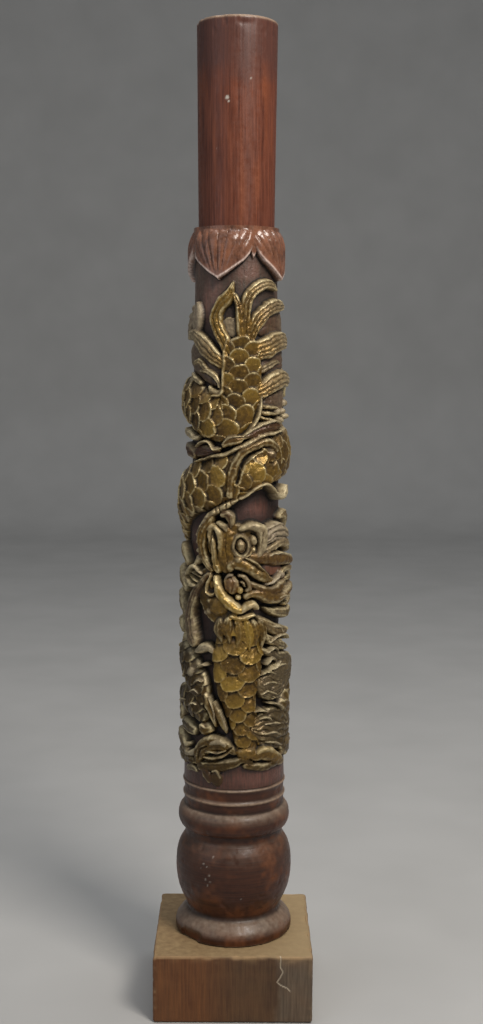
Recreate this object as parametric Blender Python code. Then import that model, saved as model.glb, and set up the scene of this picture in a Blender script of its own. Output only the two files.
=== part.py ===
"""Carved wooden temple pillar on its plain square block.

One turned log: foot, bulb, torus, stepped rings, a shaft with a dragon in high relief, a collar of
hanging lotus petals and a round tenon. Lengths are millimetres here and metres in the model. Z is up,
the front faces -Y, and the origin is in the middle of the block's underside.
"""

import math

import bmesh
import bpy
from mathutils import Matrix, Vector

MM = 0.001

# Block under the foot
BLOCK_HEIGHT = 45.0
BLOCK_BORDER = 12.8
BLOCK_EDGE = 1.2
SEAT_GAP = 0.3

# Turned members, from the bottom up
FOOT_HEIGHT = 16.7
FOOT_RADIUS = 39.2
FOOT_NECK_RADIUS = 31.3
BULB_HEIGHT = 50.0
BULB_RADIUS = 38.9
THROAT_HEIGHT = 5.0
THROAT_RADIUS = 32.9
THROAT_HOLLOW = 0.4
TORUS_HEIGHT = 15.5
TORUS_RADIUS = 37.3
RING_COUNT = 2
RING_HEIGHT = 9.0
RING_RADIUS = 34.2
RING_TAPER = 1.1
SHAFT_LENGTH = 361.5
SHAFT_BAND_RADIUS = 33.6
SHAFT_LOW_RADIUS = 29.6
TENON_LENGTH = 128.0
TENON_LOW_RADIUS = 24.4
TENON_TOP_RADIUS = 25.7
TENON_EDGE = 1.2
SHAFT_SWELL = 1.6

# Lotus collar
COLLAR_LENGTH = 33.5
COLLAR_NOTCH = 13.0
COLLAR_PROJECTION = 5.2
UNDER_PETAL_LENGTH = 20.8
UNDER_PETAL_PROJECTION = 3.1
PETAL_COUNT = 4
PETAL_LIP = 2.5
PETAL_TURN = -22.0

# Carving: how far it stands out of the shaft, and how deep its roots go into it
RELIEF_DEPTH = 10.0
ROOT_DEPTH = 1.0

# The chart that the carving is drawn on: degrees round the shaft, 0 in front and + to the viewer's
# right, and millimetres up, as on the shaft unrolled at its drawn size. The chart spans the shaft.
CHART_LOW = 150.5
CHART_HIGH = 512.0
CHART_RADIUS = 34.0
CHART_DEGREE = math.radians(1.0) * CHART_RADIUS

# Smoothness
TURNED_SIDES = 28
PETAL_COLUMNS = 8
BOSS_SIDES = 7
BODY_STEP = 11.5
STRIP_STEP = 10.0
FEWEST_STEPS = 3
ROUTE_PARTS = 12
ROUTE_REACH = 0.5

SEAT = BLOCK_HEIGHT + SEAT_GAP
FOOT_TOP = SEAT + FOOT_HEIGHT
BULB_TOP = FOOT_TOP + BULB_HEIGHT
THROAT_TOP = BULB_TOP + THROAT_HEIGHT
TORUS_TOP = THROAT_TOP + TORUS_HEIGHT
RINGS_TOP = TORUS_TOP + RING_COUNT * RING_HEIGHT
SHAFT_TOP = RINGS_TOP + SHAFT_LENGTH
PILLAR_TOP = SHAFT_TOP + TENON_LENGTH
SHAFT_TOP_RADIUS = TENON_LOW_RADIUS + SHAFT_SWELL

# Shares of the shaft's length, with the share of the ground's fall from its band to its top, and the
# relief's share of its full depth there
GROUND_SHARES = ((0.0, 0.0), (0.04, 0.05), (0.08, 0.35), (0.12, 0.52))
RELIEF_SHARES = (
    (0.0, 0.08), (0.03, 0.2), (0.06, 0.48), (0.105, 0.78), (0.16, 0.9), (0.24, 0.96),
    (0.35, 0.92), (0.43, 0.86), (0.5, 1.0), (0.57, 0.9), (0.67, 0.78), (0.75, 0.68),
    (0.8, 0.58), (0.9, 0.5), (1.0, 0.4),
)

# Shares of the shaft's length where the turned outline has a point, from the top down
SHAFT_MARKS = (0.95, 0.72, 0.45, 0.12, 0.08, 0.04, 0.0)

# Bulb and foot: shares of the height, with the share of the swell over the necks there
BULB_SHARES = ((0.96, 0.12), (0.86, 0.62), (0.72, 0.93), (0.54, 1.0), (0.36, 0.88), (0.18, 0.5), (0.06, 0.15))
FOOT_SHARES = ((0.95, 0.02), (0.75, 0.4), (0.45, 0.9), (0.22, 1.0), (0.0, 0.92))
TORUS_DEGREES = (65, 32, 0, -32, -65)

# Ring: shares of its height down to its ledge and to its root. Shaft: how its narrowing bends.
RING_LEDGE = 0.2
RING_ROOT = 0.97
SHAFT_CURVE = 1.4

# Petal: shares of its projection with shares of the notch's depth, then of its own length; how its
# edge and its breadth bend; how far it runs past its neighbour and under the tenon
PETAL_SHOULDER = ((0.45, 0.0), (0.85, 0.3))
PETAL_EDGE = ((1.0, 0.85), (0.9, 1.0))
PETAL_CURVE = 0.6
PETAL_CAMBER = 0.3
PETAL_OVERLAP = 1.01
PETAL_SEAM = 0.6
UNDER_PETAL_SPREAD = 0.4

# Sections of the carved forms over their roots, as shares of the half width and of the rise
STRIP_SECTION = ((-0.62, 0.96), (0.62, 0.96))
BROAD_SECTION = ((-0.76, 0.84), (0.0, 1.0), (0.76, 0.84))
BROAD_WIDTH = 12.0
BODY_SECTION = ((-0.9, 0.5), (-0.5, 0.88), (0.0, 1.0), (0.5, 0.88), (0.9, 0.5))
BOSS_SECTION = ((0.88, 0.6), (0.45, 0.97))
PLATE_SECTION = ((0.92, 0.9), (0.45, 1.0))


def clear_scene():
    """Takes away every object of the file the script starts in."""
    for item in list(bpy.data.objects):
        bpy.data.objects.remove(item, do_unlink=True)


def material(name, colour, roughness):
    """Principled material with one colour and roughness."""
    made = bpy.data.materials.new(name)
    made.use_nodes = True
    shader = made.node_tree.nodes["Principled BSDF"]
    shader.inputs["Base Color"].default_value = (*colour, 1.0)
    shader.inputs["Roughness"].default_value = roughness
    return made


def between(table, share):
    """Straight-line reading of a table of (share, value) pairs."""
    for (low, start), (high, end) in zip(table, table[1:]):
        if share <= high:
            return start + (end - start) * max(0.0, share - low) / (high - low)
    return table[-1][1]


def along(values, share):
    """Reading of evenly spaced values at a share 0 to 1 of their length."""
    last = len(values) - 1
    return between([(index / last, value) for index, value in enumerate(values)], share)


def ground_radius(share):
    """Radius of the bare shaft: a plain band at the bottom, then a slim shaft that narrows upward."""
    band = (SHAFT_BAND_RADIUS, SHAFT_LOW_RADIUS)
    if share < GROUND_SHARES[-1][0]:
        fall = between(GROUND_SHARES, share) / GROUND_SHARES[-1][1]
        return band[0] + (band[1] - band[0]) * fall
    rise = (share - GROUND_SHARES[-1][0]) / (1.0 - GROUND_SHARES[-1][0])
    return SHAFT_LOW_RADIUS + (SHAFT_TOP_RADIUS - SHAFT_LOW_RADIUS) * rise ** SHAFT_CURVE


def round_axis(radius, degrees, height):
    """Point round the pillar's axis, in metres."""
    turn = math.radians(degrees)
    return Vector((radius * math.sin(turn), -radius * math.cos(turn), height)) * MM


def on_shaft(degrees, level, rise):
    """Point over the shaft; a rise of 0 to 1 is a share of the relief, below 0 millimetres inward."""
    share = (level - CHART_LOW) / (CHART_HIGH - CHART_LOW)
    relief = RELIEF_DEPTH * between(RELIEF_SHARES, share)
    radius = ground_radius(share) + (rise * relief if rise >= 0.0 else rise)
    return round_axis(radius, degrees, RINGS_TOP + SHAFT_LENGTH * share)


def on_chart(x, y, rise):
    """Same, from the chart's own millimetres."""
    return on_shaft(x / CHART_DEGREE, y, rise)


def skin(name, rings):
    """Closed solid through rings of points, with a cap on each end."""
    mesh = bmesh.new()
    rows = [[mesh.verts.new(point) for point in ring] for ring in rings]
    count = len(rows[0])
    for low, high in zip(rows, rows[1:]):
        for index in range(count):
            after = (index + 1) % count
            mesh.faces.new((low[index], low[after], high[after], high[index]))
    mesh.faces.new(rows[0])
    mesh.faces.new(rows[-1])
    bmesh.ops.recalc_face_normals(mesh, faces=mesh.faces)
    bmesh.ops.triangulate(mesh, faces=[face for face in mesh.faces if len(face.verts) > 4])
    data = bpy.data.meshes.new(name)
    mesh.to_mesh(data)
    mesh.free()
    return bpy.data.objects.new(name, data)


def smooth_route(points, step):
    """Even stations on a smooth curve through points, each with the curve's direction."""
    route = [Vector(point) for point in points]
    route = [route[0] * 2 - route[1], *route, route[-1] * 2 - route[-2]]
    fine = []
    for before, start, end, after in zip(route, route[1:], route[2:], route[3:]):
        for part in range(ROUTE_PARTS):
            t = part / ROUTE_PARTS
            pull = (end - before) * 0.5
            push = (after - start) * 0.5
            fine.append(
                start * (2 * t**3 - 3 * t**2 + 1)
                + pull * (t**3 - 2 * t**2 + t)
                + end * (3 * t**2 - 2 * t**3)
                + push * (t**3 - t**2)
            )
    fine.append(route[-2])
    lengths = [0.0]
    for start, end in zip(fine, fine[1:]):
        lengths.append(lengths[-1] + (end - start).length)
    count = max(FEWEST_STEPS, round(lengths[-1] / step))
    marks = list(zip(lengths, fine))
    stations = []
    for index in range(count + 1):
        length = lengths[-1] * index / count
        here = between(marks, length)
        back = between(marks, max(0.0, length - ROUTE_REACH))
        ahead = between(marks, min(lengths[-1], length + ROUTE_REACH))
        stations.append((index / count, here, (ahead - back).normalized()))
    return stations


def strip(name, points, widths, rises, step=STRIP_STEP, section=None):
    """Carved form along a route of (degrees, level) points, with its root in the shaft."""
    section = section or (BROAD_SECTION if max(widths) >= BROAD_WIDTH else STRIP_SECTION)
    route = smooth_route([(degrees * CHART_DEGREE, level) for degrees, level in points], step)
    rings = []
    for share, here, way in route:
        side = Vector((way.y, -way.x)) * along(widths, share) / 2
        rise = along(rises, share)
        spots = [(here + side * across, rise * up) for across, up in section]
        spots = [(here - side, -ROOT_DEPTH), *spots, (here + side, -ROOT_DEPTH)]
        rings.append([on_chart(spot.x, spot.y, up) for spot, up in spots])
    return skin(name, rings)


def boss(name, degrees, level, width, height, rise, turn=0.0):
    """Domed form on an oval of the chart, with its root in the shaft."""
    tilt = Matrix.Rotation(math.radians(turn), 2)
    outline = []
    for index in range(BOSS_SIDES):
        angle = math.tau * (index + 0.5) / BOSS_SIDES
        spot = tilt @ Vector((math.cos(angle) * width / 2, math.sin(angle) * height / 2))
        outline.append((degrees + spot.x / CHART_DEGREE, level + spot.y))
    return plate(name, outline, rise, BOSS_SECTION)


def plate(name, outline, rise, section=PLATE_SECTION):
    """Carved form inside a closed outline of the chart, stepped in towards its middle."""
    spots = [Vector((degrees * CHART_DEGREE, level)) for degrees, level in outline]
    middle = sum(spots, Vector((0.0, 0.0))) / len(spots)
    rings = [[on_chart(spot.x, spot.y, -ROOT_DEPTH) for spot in spots]]
    for scale, up in section:
        inner = [middle + (spot - middle) * scale for spot in spots]
        rings.append([on_chart(spot.x, spot.y, rise * up) for spot in inner])
    return skin(name, rings)


def turned_profile():
    """Outline of the turned log as (radius, height) points, from the tenon's top to the seat."""
    points = [
        (TENON_TOP_RADIUS - TENON_EDGE, PILLAR_TOP),
        (TENON_TOP_RADIUS, PILLAR_TOP - TENON_EDGE),
        (TENON_LOW_RADIUS, SHAFT_TOP),
    ]
    for share in SHAFT_MARKS:
        points.append((ground_radius(share), RINGS_TOP + SHAFT_LENGTH * share))
    for index in range(RING_COUNT):
        top = RINGS_TOP - index * RING_HEIGHT
        points += [
            (RING_RADIUS, top - RING_LEDGE * RING_HEIGHT),
            (RING_RADIUS - RING_TAPER, top - RING_ROOT * RING_HEIGHT),
        ]
    torus_height = TORUS_HEIGHT / 2
    torus_middle = TORUS_TOP - torus_height
    torus_reach = TORUS_RADIUS - THROAT_RADIUS
    for degrees in TORUS_DEGREES:
        turn = math.radians(degrees)
        points.append(
            (THROAT_RADIUS + torus_reach * math.cos(turn), torus_middle + torus_height * math.sin(turn))
        )
    points.append((THROAT_RADIUS - THROAT_HOLLOW, BULB_TOP + THROAT_HEIGHT / 3))
    for share, bulge in BULB_SHARES:
        neck = FOOT_NECK_RADIUS + (THROAT_RADIUS - FOOT_NECK_RADIUS) * share
        points.append((neck + (BULB_RADIUS - neck) * bulge, FOOT_TOP + BULB_HEIGHT * share))
    for share, flare in FOOT_SHARES:
        points.append(
            (FOOT_NECK_RADIUS + (FOOT_RADIUS - FOOT_NECK_RADIUS) * flare, SEAT + FOOT_HEIGHT * share)
        )
    return points


def turned_log(wood):
    """The log as it leaves the lathe, as rings of one outline round the axis."""
    rings = []
    for radius, height in turned_profile():
        turns = [360.0 * index / TURNED_SIDES for index in range(TURNED_SIDES)]
        rings.append([round_axis(radius, turn, height) for turn in turns])
    log = skin("pillar", rings)
    log.data.materials.append(wood)
    bpy.context.scene.collection.objects.link(log)
    return log


def petals():
    """Collar of broad petals that hang from the tenon's foot, each domed and pointed."""
    made = []
    spread = 360.0 / PETAL_COUNT / 2
    shapes = [
        ("petal", PETAL_TURN, COLLAR_LENGTH, COLLAR_PROJECTION, spread * PETAL_OVERLAP, PETAL_COLUMNS),
        ("under_petal", PETAL_TURN + spread, UNDER_PETAL_LENGTH, UNDER_PETAL_PROJECTION,
         spread * UNDER_PETAL_SPREAD, PETAL_COLUMNS // 2),
    ]
    for name, first, length, projection, half, columns in shapes:
        for index in range(PETAL_COUNT):
            middle = first + index * 360.0 / PETAL_COUNT
            made.append(petal(f"{name}_{index}", middle, length, projection, half, columns))
    return made


def petal(name, middle, length, projection, half, columns):
    """One petal: columns side by side, each from the shoulder down to the lip and back inside."""
    notch = COLLAR_NOTCH
    rings = []
    for column in range(columns + 1):
        share = 2 * column / columns - 1.0
        drop = notch + (length - notch) * (1.0 - abs(share)) ** PETAL_CURVE
        dome = projection * (1.0 - PETAL_CAMBER * share * share)
        outer = [(TENON_LOW_RADIUS - ROOT_DEPTH, SHAFT_TOP + PETAL_SEAM)]
        outer += [(SHAFT_TOP_RADIUS + dome * out, SHAFT_TOP - notch * down) for out, down in PETAL_SHOULDER]
        outer += [(SHAFT_TOP_RADIUS + dome * out, SHAFT_TOP - drop * down) for out, down in PETAL_EDGE]
        outer.append((SHAFT_TOP_RADIUS - ROOT_DEPTH, SHAFT_TOP - drop + PETAL_LIP))
        turn = middle + share * half
        rings.append([round_axis(radius, turn, height) for radius, height in outer])
    return skin(name, rings)


# Dragon's body from under the chest, twice round the shaft and up to the tail's tip
BODY_ROUTE = (
    (26, 180), (45, 186), (70, 192), (95, 204), (120, 222), (150, 248), (180, 275), (210, 300),
    (240, 321), (270, 336), (300, 345), (330, 350), (360, 356), (390, 363), (420, 367), (450, 370),
    (480, 375), (510, 381), (540, 388), (570, 395), (600, 401), (630, 403), (655, 402), (680, 397),
    (700, 393), (716, 397), (726, 407), (728, 420), (728, 432), (728, 441),
)
BODY_WIDTHS = (13, 24, 29, 31, 32, 33, 33, 33, 32, 31, 30, 29, 28, 25, 21, 12)
BODY_RISES = (0.55, 0.85, 0.92, 0.95, 0.95, 0.97, 0.97, 0.95, 0.92, 0.9, 0.92, 0.95, 0.97, 0.97, 0.95, 0.7)
NECK_ROUTE = ((1, 268), (5, 250), (4, 235), (3, 220), (6, 207), (11, 195), (14, 184), (13, 170))
NECK_WIDTHS = (20, 30, 35, 33, 26, 20, 17, 13)
NECK_RISES = (0.7, 0.85, 0.98, 1.0, 0.95, 0.88, 0.8, 0.6)

# Other carved forms: name, route, widths, rises
STRIPS = (
    # Flames at the tail's tip
    ("tail_flame_left", ((-10, 436), (-19, 445), (-25, 455), (-18, 463), (-8, 468), (-4, 476)),
     (6, 9, 10, 9, 8, 3), (0.7, 0.9, 0.95, 0.95, 0.9, 0.6)),
    ("tail_flame_middle", ((6, 438), (8, 452), (11, 464), (22, 472), (38, 476), (54, 474)),
     (9, 9, 9, 8, 7, 3), (0.75, 0.9, 0.95, 0.95, 0.9, 0.6)),
    ("tail_flame_right", ((17, 440), (27, 450), (40, 457), (56, 461.5), (74, 463)),
     (7, 9, 8, 7, 3), (0.7, 0.9, 0.95, 0.95, 0.7)),
    ("tail_fin_upper", ((22, 432), (36, 433), (52, 437), (64, 441), (78, 441)),
     (8, 9, 9, 8, 4), (0.75, 0.9, 0.95, 0.95, 0.8)),
    ("tail_fin_lower", ((26, 412), (42, 412.5), (58, 416), (72, 421)),
     (8, 9, 10, 5), (0.8, 0.95, 0.98, 0.8)),
    ("side_fin", ((-10, 426), (-24, 428), (-36, 435), (-50, 441), (-66, 444)),
     (6, 8, 9, 9, 4), (0.7, 0.85, 0.9, 0.92, 0.8)),
    ("side_scroll", ((-16, 412), (-26, 414), (-38, 419), (-52, 425)),
     (5, 6, 6, 4), (0.5, 0.6, 0.7, 0.8)),
    ("side_stub", ((-62, 444), (-57, 454), (-54, 466)), (10, 12, 8), (0.8, 0.9, 0.7)),
    # Ribbed frill on the back of the front coil
    ("frill_left", ((-78, 384), (-62, 379), (-46, 377), (-33, 374), (-20, 370), (-10, 374)),
     (9, 9, 9, 8, 8, 7), (0.7, 0.7, 0.68, 0.65, 0.62, 0.7)),
    ("frill_right", ((-14, 374), (0, 377.5), (14, 380), (28, 385), (42, 387.5), (56, 389)),
     (5, 6, 7, 7, 6, 4), (0.8, 0.9, 0.95, 0.95, 0.9, 0.7)),
    # Hind leg on the front coil: its outline and its spur
    ("thigh_rim", ((-7, 342), (-5, 355), (1, 366), (14, 373), (30, 376.5), (42, 375), (48, 368)),
     (6, 7, 7, 6, 6, 6, 4), (1.0, 1.08, 1.1, 1.1, 1.1, 1.06, 1.0)),
    ("spur", ((47, 345), (54, 342), (64, 347)), (4, 6, 3), (1.0, 1.05, 1.0)),
    ("belly_rim", ((-44, 317), (-34, 325), (-22, 331), (-8, 336), (4, 340)),
     (4, 6, 6, 6, 3), (0.7, 0.8, 0.8, 0.8, 0.7)),
    # Head
    ("mane_outer", ((-30, 296), (-37, 304), (-39, 313), (-34, 322), (-24, 328)),
     (5, 7, 8, 7, 5), (0.7, 0.85, 0.9, 0.9, 0.8)),
    ("mane_inner", ((-22, 292), (-26, 303), (-27, 312), (-20, 320), (-12, 322)),
     (4, 6, 7, 6, 4), (0.8, 0.9, 0.95, 0.9, 0.8)),
    ("horn", ((-12, 312), (-13, 322), (-9, 329)), (8, 9, 6), (0.6, 0.75, 0.75)),
    ("brow", ((4, 321), (14, 322.5), (25, 321), (28, 314), (24, 308)),
     (4, 6, 6, 6, 4), (0.85, 1.0, 1.05, 1.0, 0.9)),
    ("snout", ((18, 306), (32, 303), (48, 302), (66, 299)), (10, 11, 9, 5), (0.9, 0.98, 1.0, 0.85)),
    ("flame_upper", ((33, 312), (44, 318), (58, 320)), (6, 9, 5), (0.75, 0.85, 0.75)),
    ("flame_lower", ((34, 309), (50, 311), (72, 313)), (4, 7, 4), (0.75, 0.85, 0.8)),
    ("upper_lip", ((-8, 301), (4, 301), (18, 296.5), (30, 292), (42, 288.5), (50, 291.5)),
     (7, 7.5, 7, 7, 6, 4), (0.95, 1.06, 1.08, 1.06, 1.02, 0.95)),
    ("inner_lip", ((8, 291), (20, 286), (34, 281.5), (48, 283), (56, 290)),
     (3, 4, 4, 4, 3), (0.8, 0.9, 0.95, 0.95, 0.85)),
    ("lower_jaw", ((8, 276), (22, 280), (36, 276.5), (52, 274), (70, 277)),
     (4, 8, 8, 7, 4), (0.8, 0.95, 0.98, 0.95, 0.8)),
    ("jaw_rim", ((-22, 292), (-15, 283), (-6, 275), (6, 268.5), (18, 271)),
     (5, 7, 8, 8, 5), (0.85, 0.98, 1.02, 1.02, 0.9)),
    ("tongue", ((-1, 291), (5, 284), (10, 278)), (5, 6, 4), (0.8, 0.9, 0.8)),
    ("whisker", ((-22, 293), (-36, 288), (-48, 280), (-56, 268), (-54, 255), (-46, 243)),
     (4, 5, 6, 9, 10, 6), (0.8, 0.85, 0.85, 0.85, 0.85, 0.8)),
    ("ear_leaf", ((-38, 291), (-50, 290), (-64, 287)), (6, 11, 4), (0.75, 0.9, 0.8)),
    # Foreleg and talons on the left of the chest, mane and ribs on its right
    ("forearm", ((-72, 240), (-58, 229), (-44, 218), (-32, 208)),
     (14, 18, 17, 10), (0.8, 0.9, 0.9, 0.8)),
    ("paw", ((-70, 200), (-52, 206), (-34, 206)), (14, 18, 12), (0.75, 0.82, 0.8)),
    ("talon_outer", ((-30, 211), (-26, 203), (-20, 194)), (5, 5, 2), (0.8, 0.85, 0.7)),
    ("talon_inner", ((-18, 207), (-12, 199), (-7, 189)), (5, 5, 2), (0.85, 0.85, 0.7)),
    ("talon_low", ((-52, 192), (-42, 190), (-30, 190)), (5, 8, 6), (0.7, 0.75, 0.6)),
    ("lock_upper", ((28, 262), (40, 255), (58, 248), (74, 247)), (7, 10, 9, 5), (0.7, 0.8, 0.8, 0.75)),
    ("lock_lower", ((32, 247), (44, 240), (58, 234), (76, 234)), (7, 9, 9, 5), (0.7, 0.75, 0.8, 0.8)),
    ("shoulder", ((30, 214), (46, 220), (64, 227), (84, 233)),
     (10, 18, 18, 10), (0.85, 0.95, 0.95, 0.8)),
    # Clouds round the foot of the shaft
    ("cloud_left", ((-42, 168), (-34, 177), (-20, 180.5), (-6, 178), (6, 174)),
     (8, 12, 13, 10, 5), (0.9, 1.1, 1.15, 1.1, 0.8)),
    ("cloud_low", ((-44, 165), (-28, 167.5), (-12, 167), (2, 169), (14, 167)),
     (6, 8, 9, 8, 5), (1.0, 1.2, 1.2, 1.1, 0.9)),
    ("cloud_right", ((12, 167), (24, 169), (36, 171), (50, 169), (64, 167)),
     (6, 12, 14, 11, 5), (1.0, 1.3, 1.35, 1.3, 1.0)),
    # Hidden side, in keeping and plainer
    ("back_flame_a", ((100, 404), (112, 417), (132, 426), (154, 428)),
     (9, 12, 11, 4), (0.8, 0.9, 0.9, 0.7)),
    ("back_flame_b", ((150, 412), (166, 426), (186, 436), (206, 438)),
     (9, 12, 11, 4), (0.8, 0.9, 0.9, 0.7)),
    ("back_flame_c", ((208, 424), (222, 438), (244, 446), (262, 446)),
     (9, 12, 10, 4), (0.8, 0.9, 0.9, 0.7)),
    ("back_flame_d", ((110, 434), (128, 450), (152, 458), (176, 458)),
     (8, 10, 9, 4), (0.8, 0.9, 0.9, 0.7)),
    ("back_leg", ((236, 352), (214, 344), (190, 348), (168, 340), (150, 326)),
     (16, 18, 14, 12, 7), (0.85, 0.95, 0.95, 0.9, 0.8)),
    ("back_talon_a", ((152, 328), (138, 318), (128, 306)), (6, 6, 2), (0.85, 0.85, 0.7)),
    ("back_talon_b", ((148, 334), (130, 330), (112, 320)), (6, 6, 2), (0.85, 0.85, 0.7)),
    ("back_talon_c", ((156, 324), (150, 310), (148, 300)), (6, 6, 2), (0.85, 0.85, 0.7)),
    ("side_flame_a", ((96, 262), (84, 276), (80, 294), (92, 310)),
     (10, 13, 11, 4), (0.8, 0.9, 0.9, 0.7)),
    ("side_flame_b", ((104, 320), (92, 330), (76, 334), (62, 332)),
     (9, 10, 9, 4), (0.7, 0.8, 0.8, 0.7)),
    ("side_flame_c", ((-84, 300), (-96, 288), (-92, 272), (-78, 262)),
     (9, 12, 10, 4), (0.8, 0.9, 0.85, 0.7)),
    ("side_flame_d", ((-118, 286), (-128, 268), (-120, 250), (-100, 240)),
     (10, 13, 11, 4), (0.8, 0.9, 0.9, 0.7)),
    ("side_flame_e", ((-152, 262), (-156, 244), (-146, 228), (-124, 220)),
     (10, 13, 11, 4), (0.8, 0.9, 0.9, 0.7)),
    ("back_cloud_a", ((-60, 168), (-74, 177), (-92, 179), (-112, 173)),
     (7, 11, 11, 5), (1.0, 1.1, 1.1, 0.9)),
    ("back_cloud_b", ((-108, 170), (-124, 180), (-144, 181), (-162, 173)),
     (7, 12, 12, 5), (1.0, 1.1, 1.1, 0.9)),
    ("back_cloud_c", ((-156, 170), (-174, 180), (-194, 181), (-212, 173)),
     (7, 12, 12, 5), (1.0, 1.1, 1.1, 0.9)),
    ("back_cloud_d", ((154, 170), (136, 178), (118, 178), (98, 172)),
     (7, 12, 12, 5), (1.0, 1.1, 1.1, 0.9)),
    ("back_cloud_e", ((102, 169), (88, 176), (74, 176), (60, 170)),
     (7, 10, 10, 5), (1.0, 1.1, 1.1, 0.9)),
    ("back_cloud_f", ((-82, 190), (-100, 200), (-122, 204), (-142, 196)),
     (8, 12, 12, 5), (0.8, 0.9, 0.9, 0.7)),
    ("back_cloud_g", ((-136, 198), (-156, 210), (-178, 212), (-200, 200)),
     (8, 13, 12, 5), (0.8, 0.9, 0.9, 0.7)),
)

# Domed forms: name, degrees, level, width, height, rise, turn
BOSSES = (
    ("eye", 6, 313, 9.6, 9.6, 1.0, 0),
    ("cheek", -10, 306, 15, 34, 0.8, 0),
    ("thigh", 24, 357, 32, 24, 1.06, 12),
    ("pearl", -5, 287, 9.5, 11, 0.92, 0),
    ("chin_lobe", -16, 271, 12, 12, 0.85, 0),
    ("jaw_lobe", -25, 285, 8, 9, 0.85, 0),
    ("teeth", 56, 288, 9, 8, 0.9, 0),
    ("brow_knob", 19, 315.5, 7, 6, 0.95, 0),
    ("cloud_knob", -22, 158.5, 11, 12, 1.4, 0),
    ("cloud_bulge", -18, 181.5, 13, 6, 1.2, 4),
    ("cloud_curl", -54, 173, 12, 7, 0.95, 0),
    ("wrist", -47, 227, 10, 9, 1.0, 0),
    ("dust_lump", -30, 242, 11, 6, 0.6, 0),
)

# Head's ground: one low plate under its features
HEAD_OUTLINE = (
    (-34, 296), (-30, 284), (-18, 271), (2, 265), (24, 269), (50, 272), (66, 280), (70, 296),
    (64, 308), (46, 314), (28, 322), (4, 324), (-18, 330), (-30, 324), (-36, 310),
)
HEAD_RISE = 0.62

# Wavy belly plates right of the chest: levels, and the wave as degrees with a fall from the level
RIB_LEVELS = (202.0, 195.5, 189.0, 182.5)
RIB_WAVE = ((20, 0.0), (36, 2.0), (52, -0.5), (66, 2.0))
RIB_WIDTHS = (4, 5, 5, 3)
RIB_RISES = (0.95, 1.0, 1.05, 0.9)


def carved_forms():
    """Every carved form that the solid carries, each closed and rooted in the shaft."""
    forms = [
        strip("body", BODY_ROUTE, BODY_WIDTHS, BODY_RISES, BODY_STEP, BODY_SECTION),
        strip("chest", NECK_ROUTE, NECK_WIDTHS, NECK_RISES, BODY_STEP, BODY_SECTION),
        plate("head", HEAD_OUTLINE, HEAD_RISE),
    ]
    forms += [strip(*shape) for shape in STRIPS]
    for name, degrees, level, width, height, rise, turn in BOSSES:
        forms.append(boss(name, degrees, level, width, height, rise, turn))
    for index, level in enumerate(RIB_LEVELS):
        points = [(degrees, level - fall) for degrees, fall in RIB_WAVE]
        forms.append(strip(f"belly_rib_{index}", points, RIB_WIDTHS, RIB_RISES))
    return forms + petals()


def pillar():
    """The turned log with its carving joined on as one solid."""
    log = turned_log(material("stained_wood", (0.16, 0.045, 0.022), 0.5))
    carving = bpy.data.collections.new("carving")
    bpy.context.scene.collection.children.link(carving)
    for form in carved_forms():
        form.display_type = "WIRE"
        form.hide_render = True
        carving.objects.link(form)
    union = log.modifiers.new("carving", "BOOLEAN")
    union.operation = "UNION"
    union.operand_type = "COLLECTION"
    union.collection = carving
    union.solver = "EXACT"
    return log


def plinth_block():
    """Plain square block with worn edges."""
    width = 2 * (FOOT_RADIUS + BLOCK_BORDER) * MM
    height = BLOCK_HEIGHT * MM
    mesh = bmesh.new()
    bmesh.ops.create_cube(mesh, size=1.0)
    bmesh.ops.scale(mesh, vec=(width, width, height), verts=mesh.verts)
    bmesh.ops.translate(mesh, vec=(0.0, 0.0, height / 2), verts=mesh.verts)
    data = bpy.data.meshes.new("plinth_block")
    mesh.to_mesh(data)
    mesh.free()
    block = bpy.data.objects.new("plinth_block", data)
    bpy.context.scene.collection.objects.link(block)
    data.materials.append(material("block_wood", (0.2, 0.075, 0.03), 0.7))
    worn = block.modifiers.new("worn_edges", "BEVEL")
    worn.width = BLOCK_EDGE * MM
    worn.segments = 2
    return block


clear_scene()
pillar()
plinth_block()
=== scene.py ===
"""Carved temple pillar on its square block, dressed for the eye in the CAD model's frame.

The shaft is one surface of angle and height: a bare turned log, with every carved form laid over it
by its own formula. The turned base and the tenon are outlines carried round the axis, and the block
is a stack of square rings.
Lengths are millimetres of the drawn pillar, times MM for metres. Angles are degrees round the
shaft, 0 in front and + to the viewer's right.
"""
import math

import bpy
import numpy as np
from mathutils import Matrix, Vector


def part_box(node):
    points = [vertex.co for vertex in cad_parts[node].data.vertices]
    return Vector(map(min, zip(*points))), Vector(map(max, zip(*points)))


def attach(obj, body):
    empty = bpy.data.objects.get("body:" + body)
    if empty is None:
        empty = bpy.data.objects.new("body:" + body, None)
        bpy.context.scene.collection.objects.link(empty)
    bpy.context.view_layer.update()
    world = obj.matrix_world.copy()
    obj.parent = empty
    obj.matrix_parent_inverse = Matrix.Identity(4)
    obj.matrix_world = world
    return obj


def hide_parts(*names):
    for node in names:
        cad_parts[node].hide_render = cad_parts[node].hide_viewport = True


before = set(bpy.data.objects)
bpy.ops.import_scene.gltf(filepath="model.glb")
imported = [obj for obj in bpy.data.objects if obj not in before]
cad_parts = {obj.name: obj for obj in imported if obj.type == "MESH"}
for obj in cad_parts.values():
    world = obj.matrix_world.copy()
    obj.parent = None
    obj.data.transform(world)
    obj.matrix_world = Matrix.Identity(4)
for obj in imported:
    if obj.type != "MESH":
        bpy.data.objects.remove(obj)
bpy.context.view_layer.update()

LOG_LOW, LOG_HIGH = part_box("pillar")
BLOCK_LOW, BLOCK_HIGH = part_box("plinth_block")

# One millimetre of the drawn pillar, which is 594.7 mm from its seat to its top
MM = (LOG_HIGH.z - LOG_LOW.z) / 594.7

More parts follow.
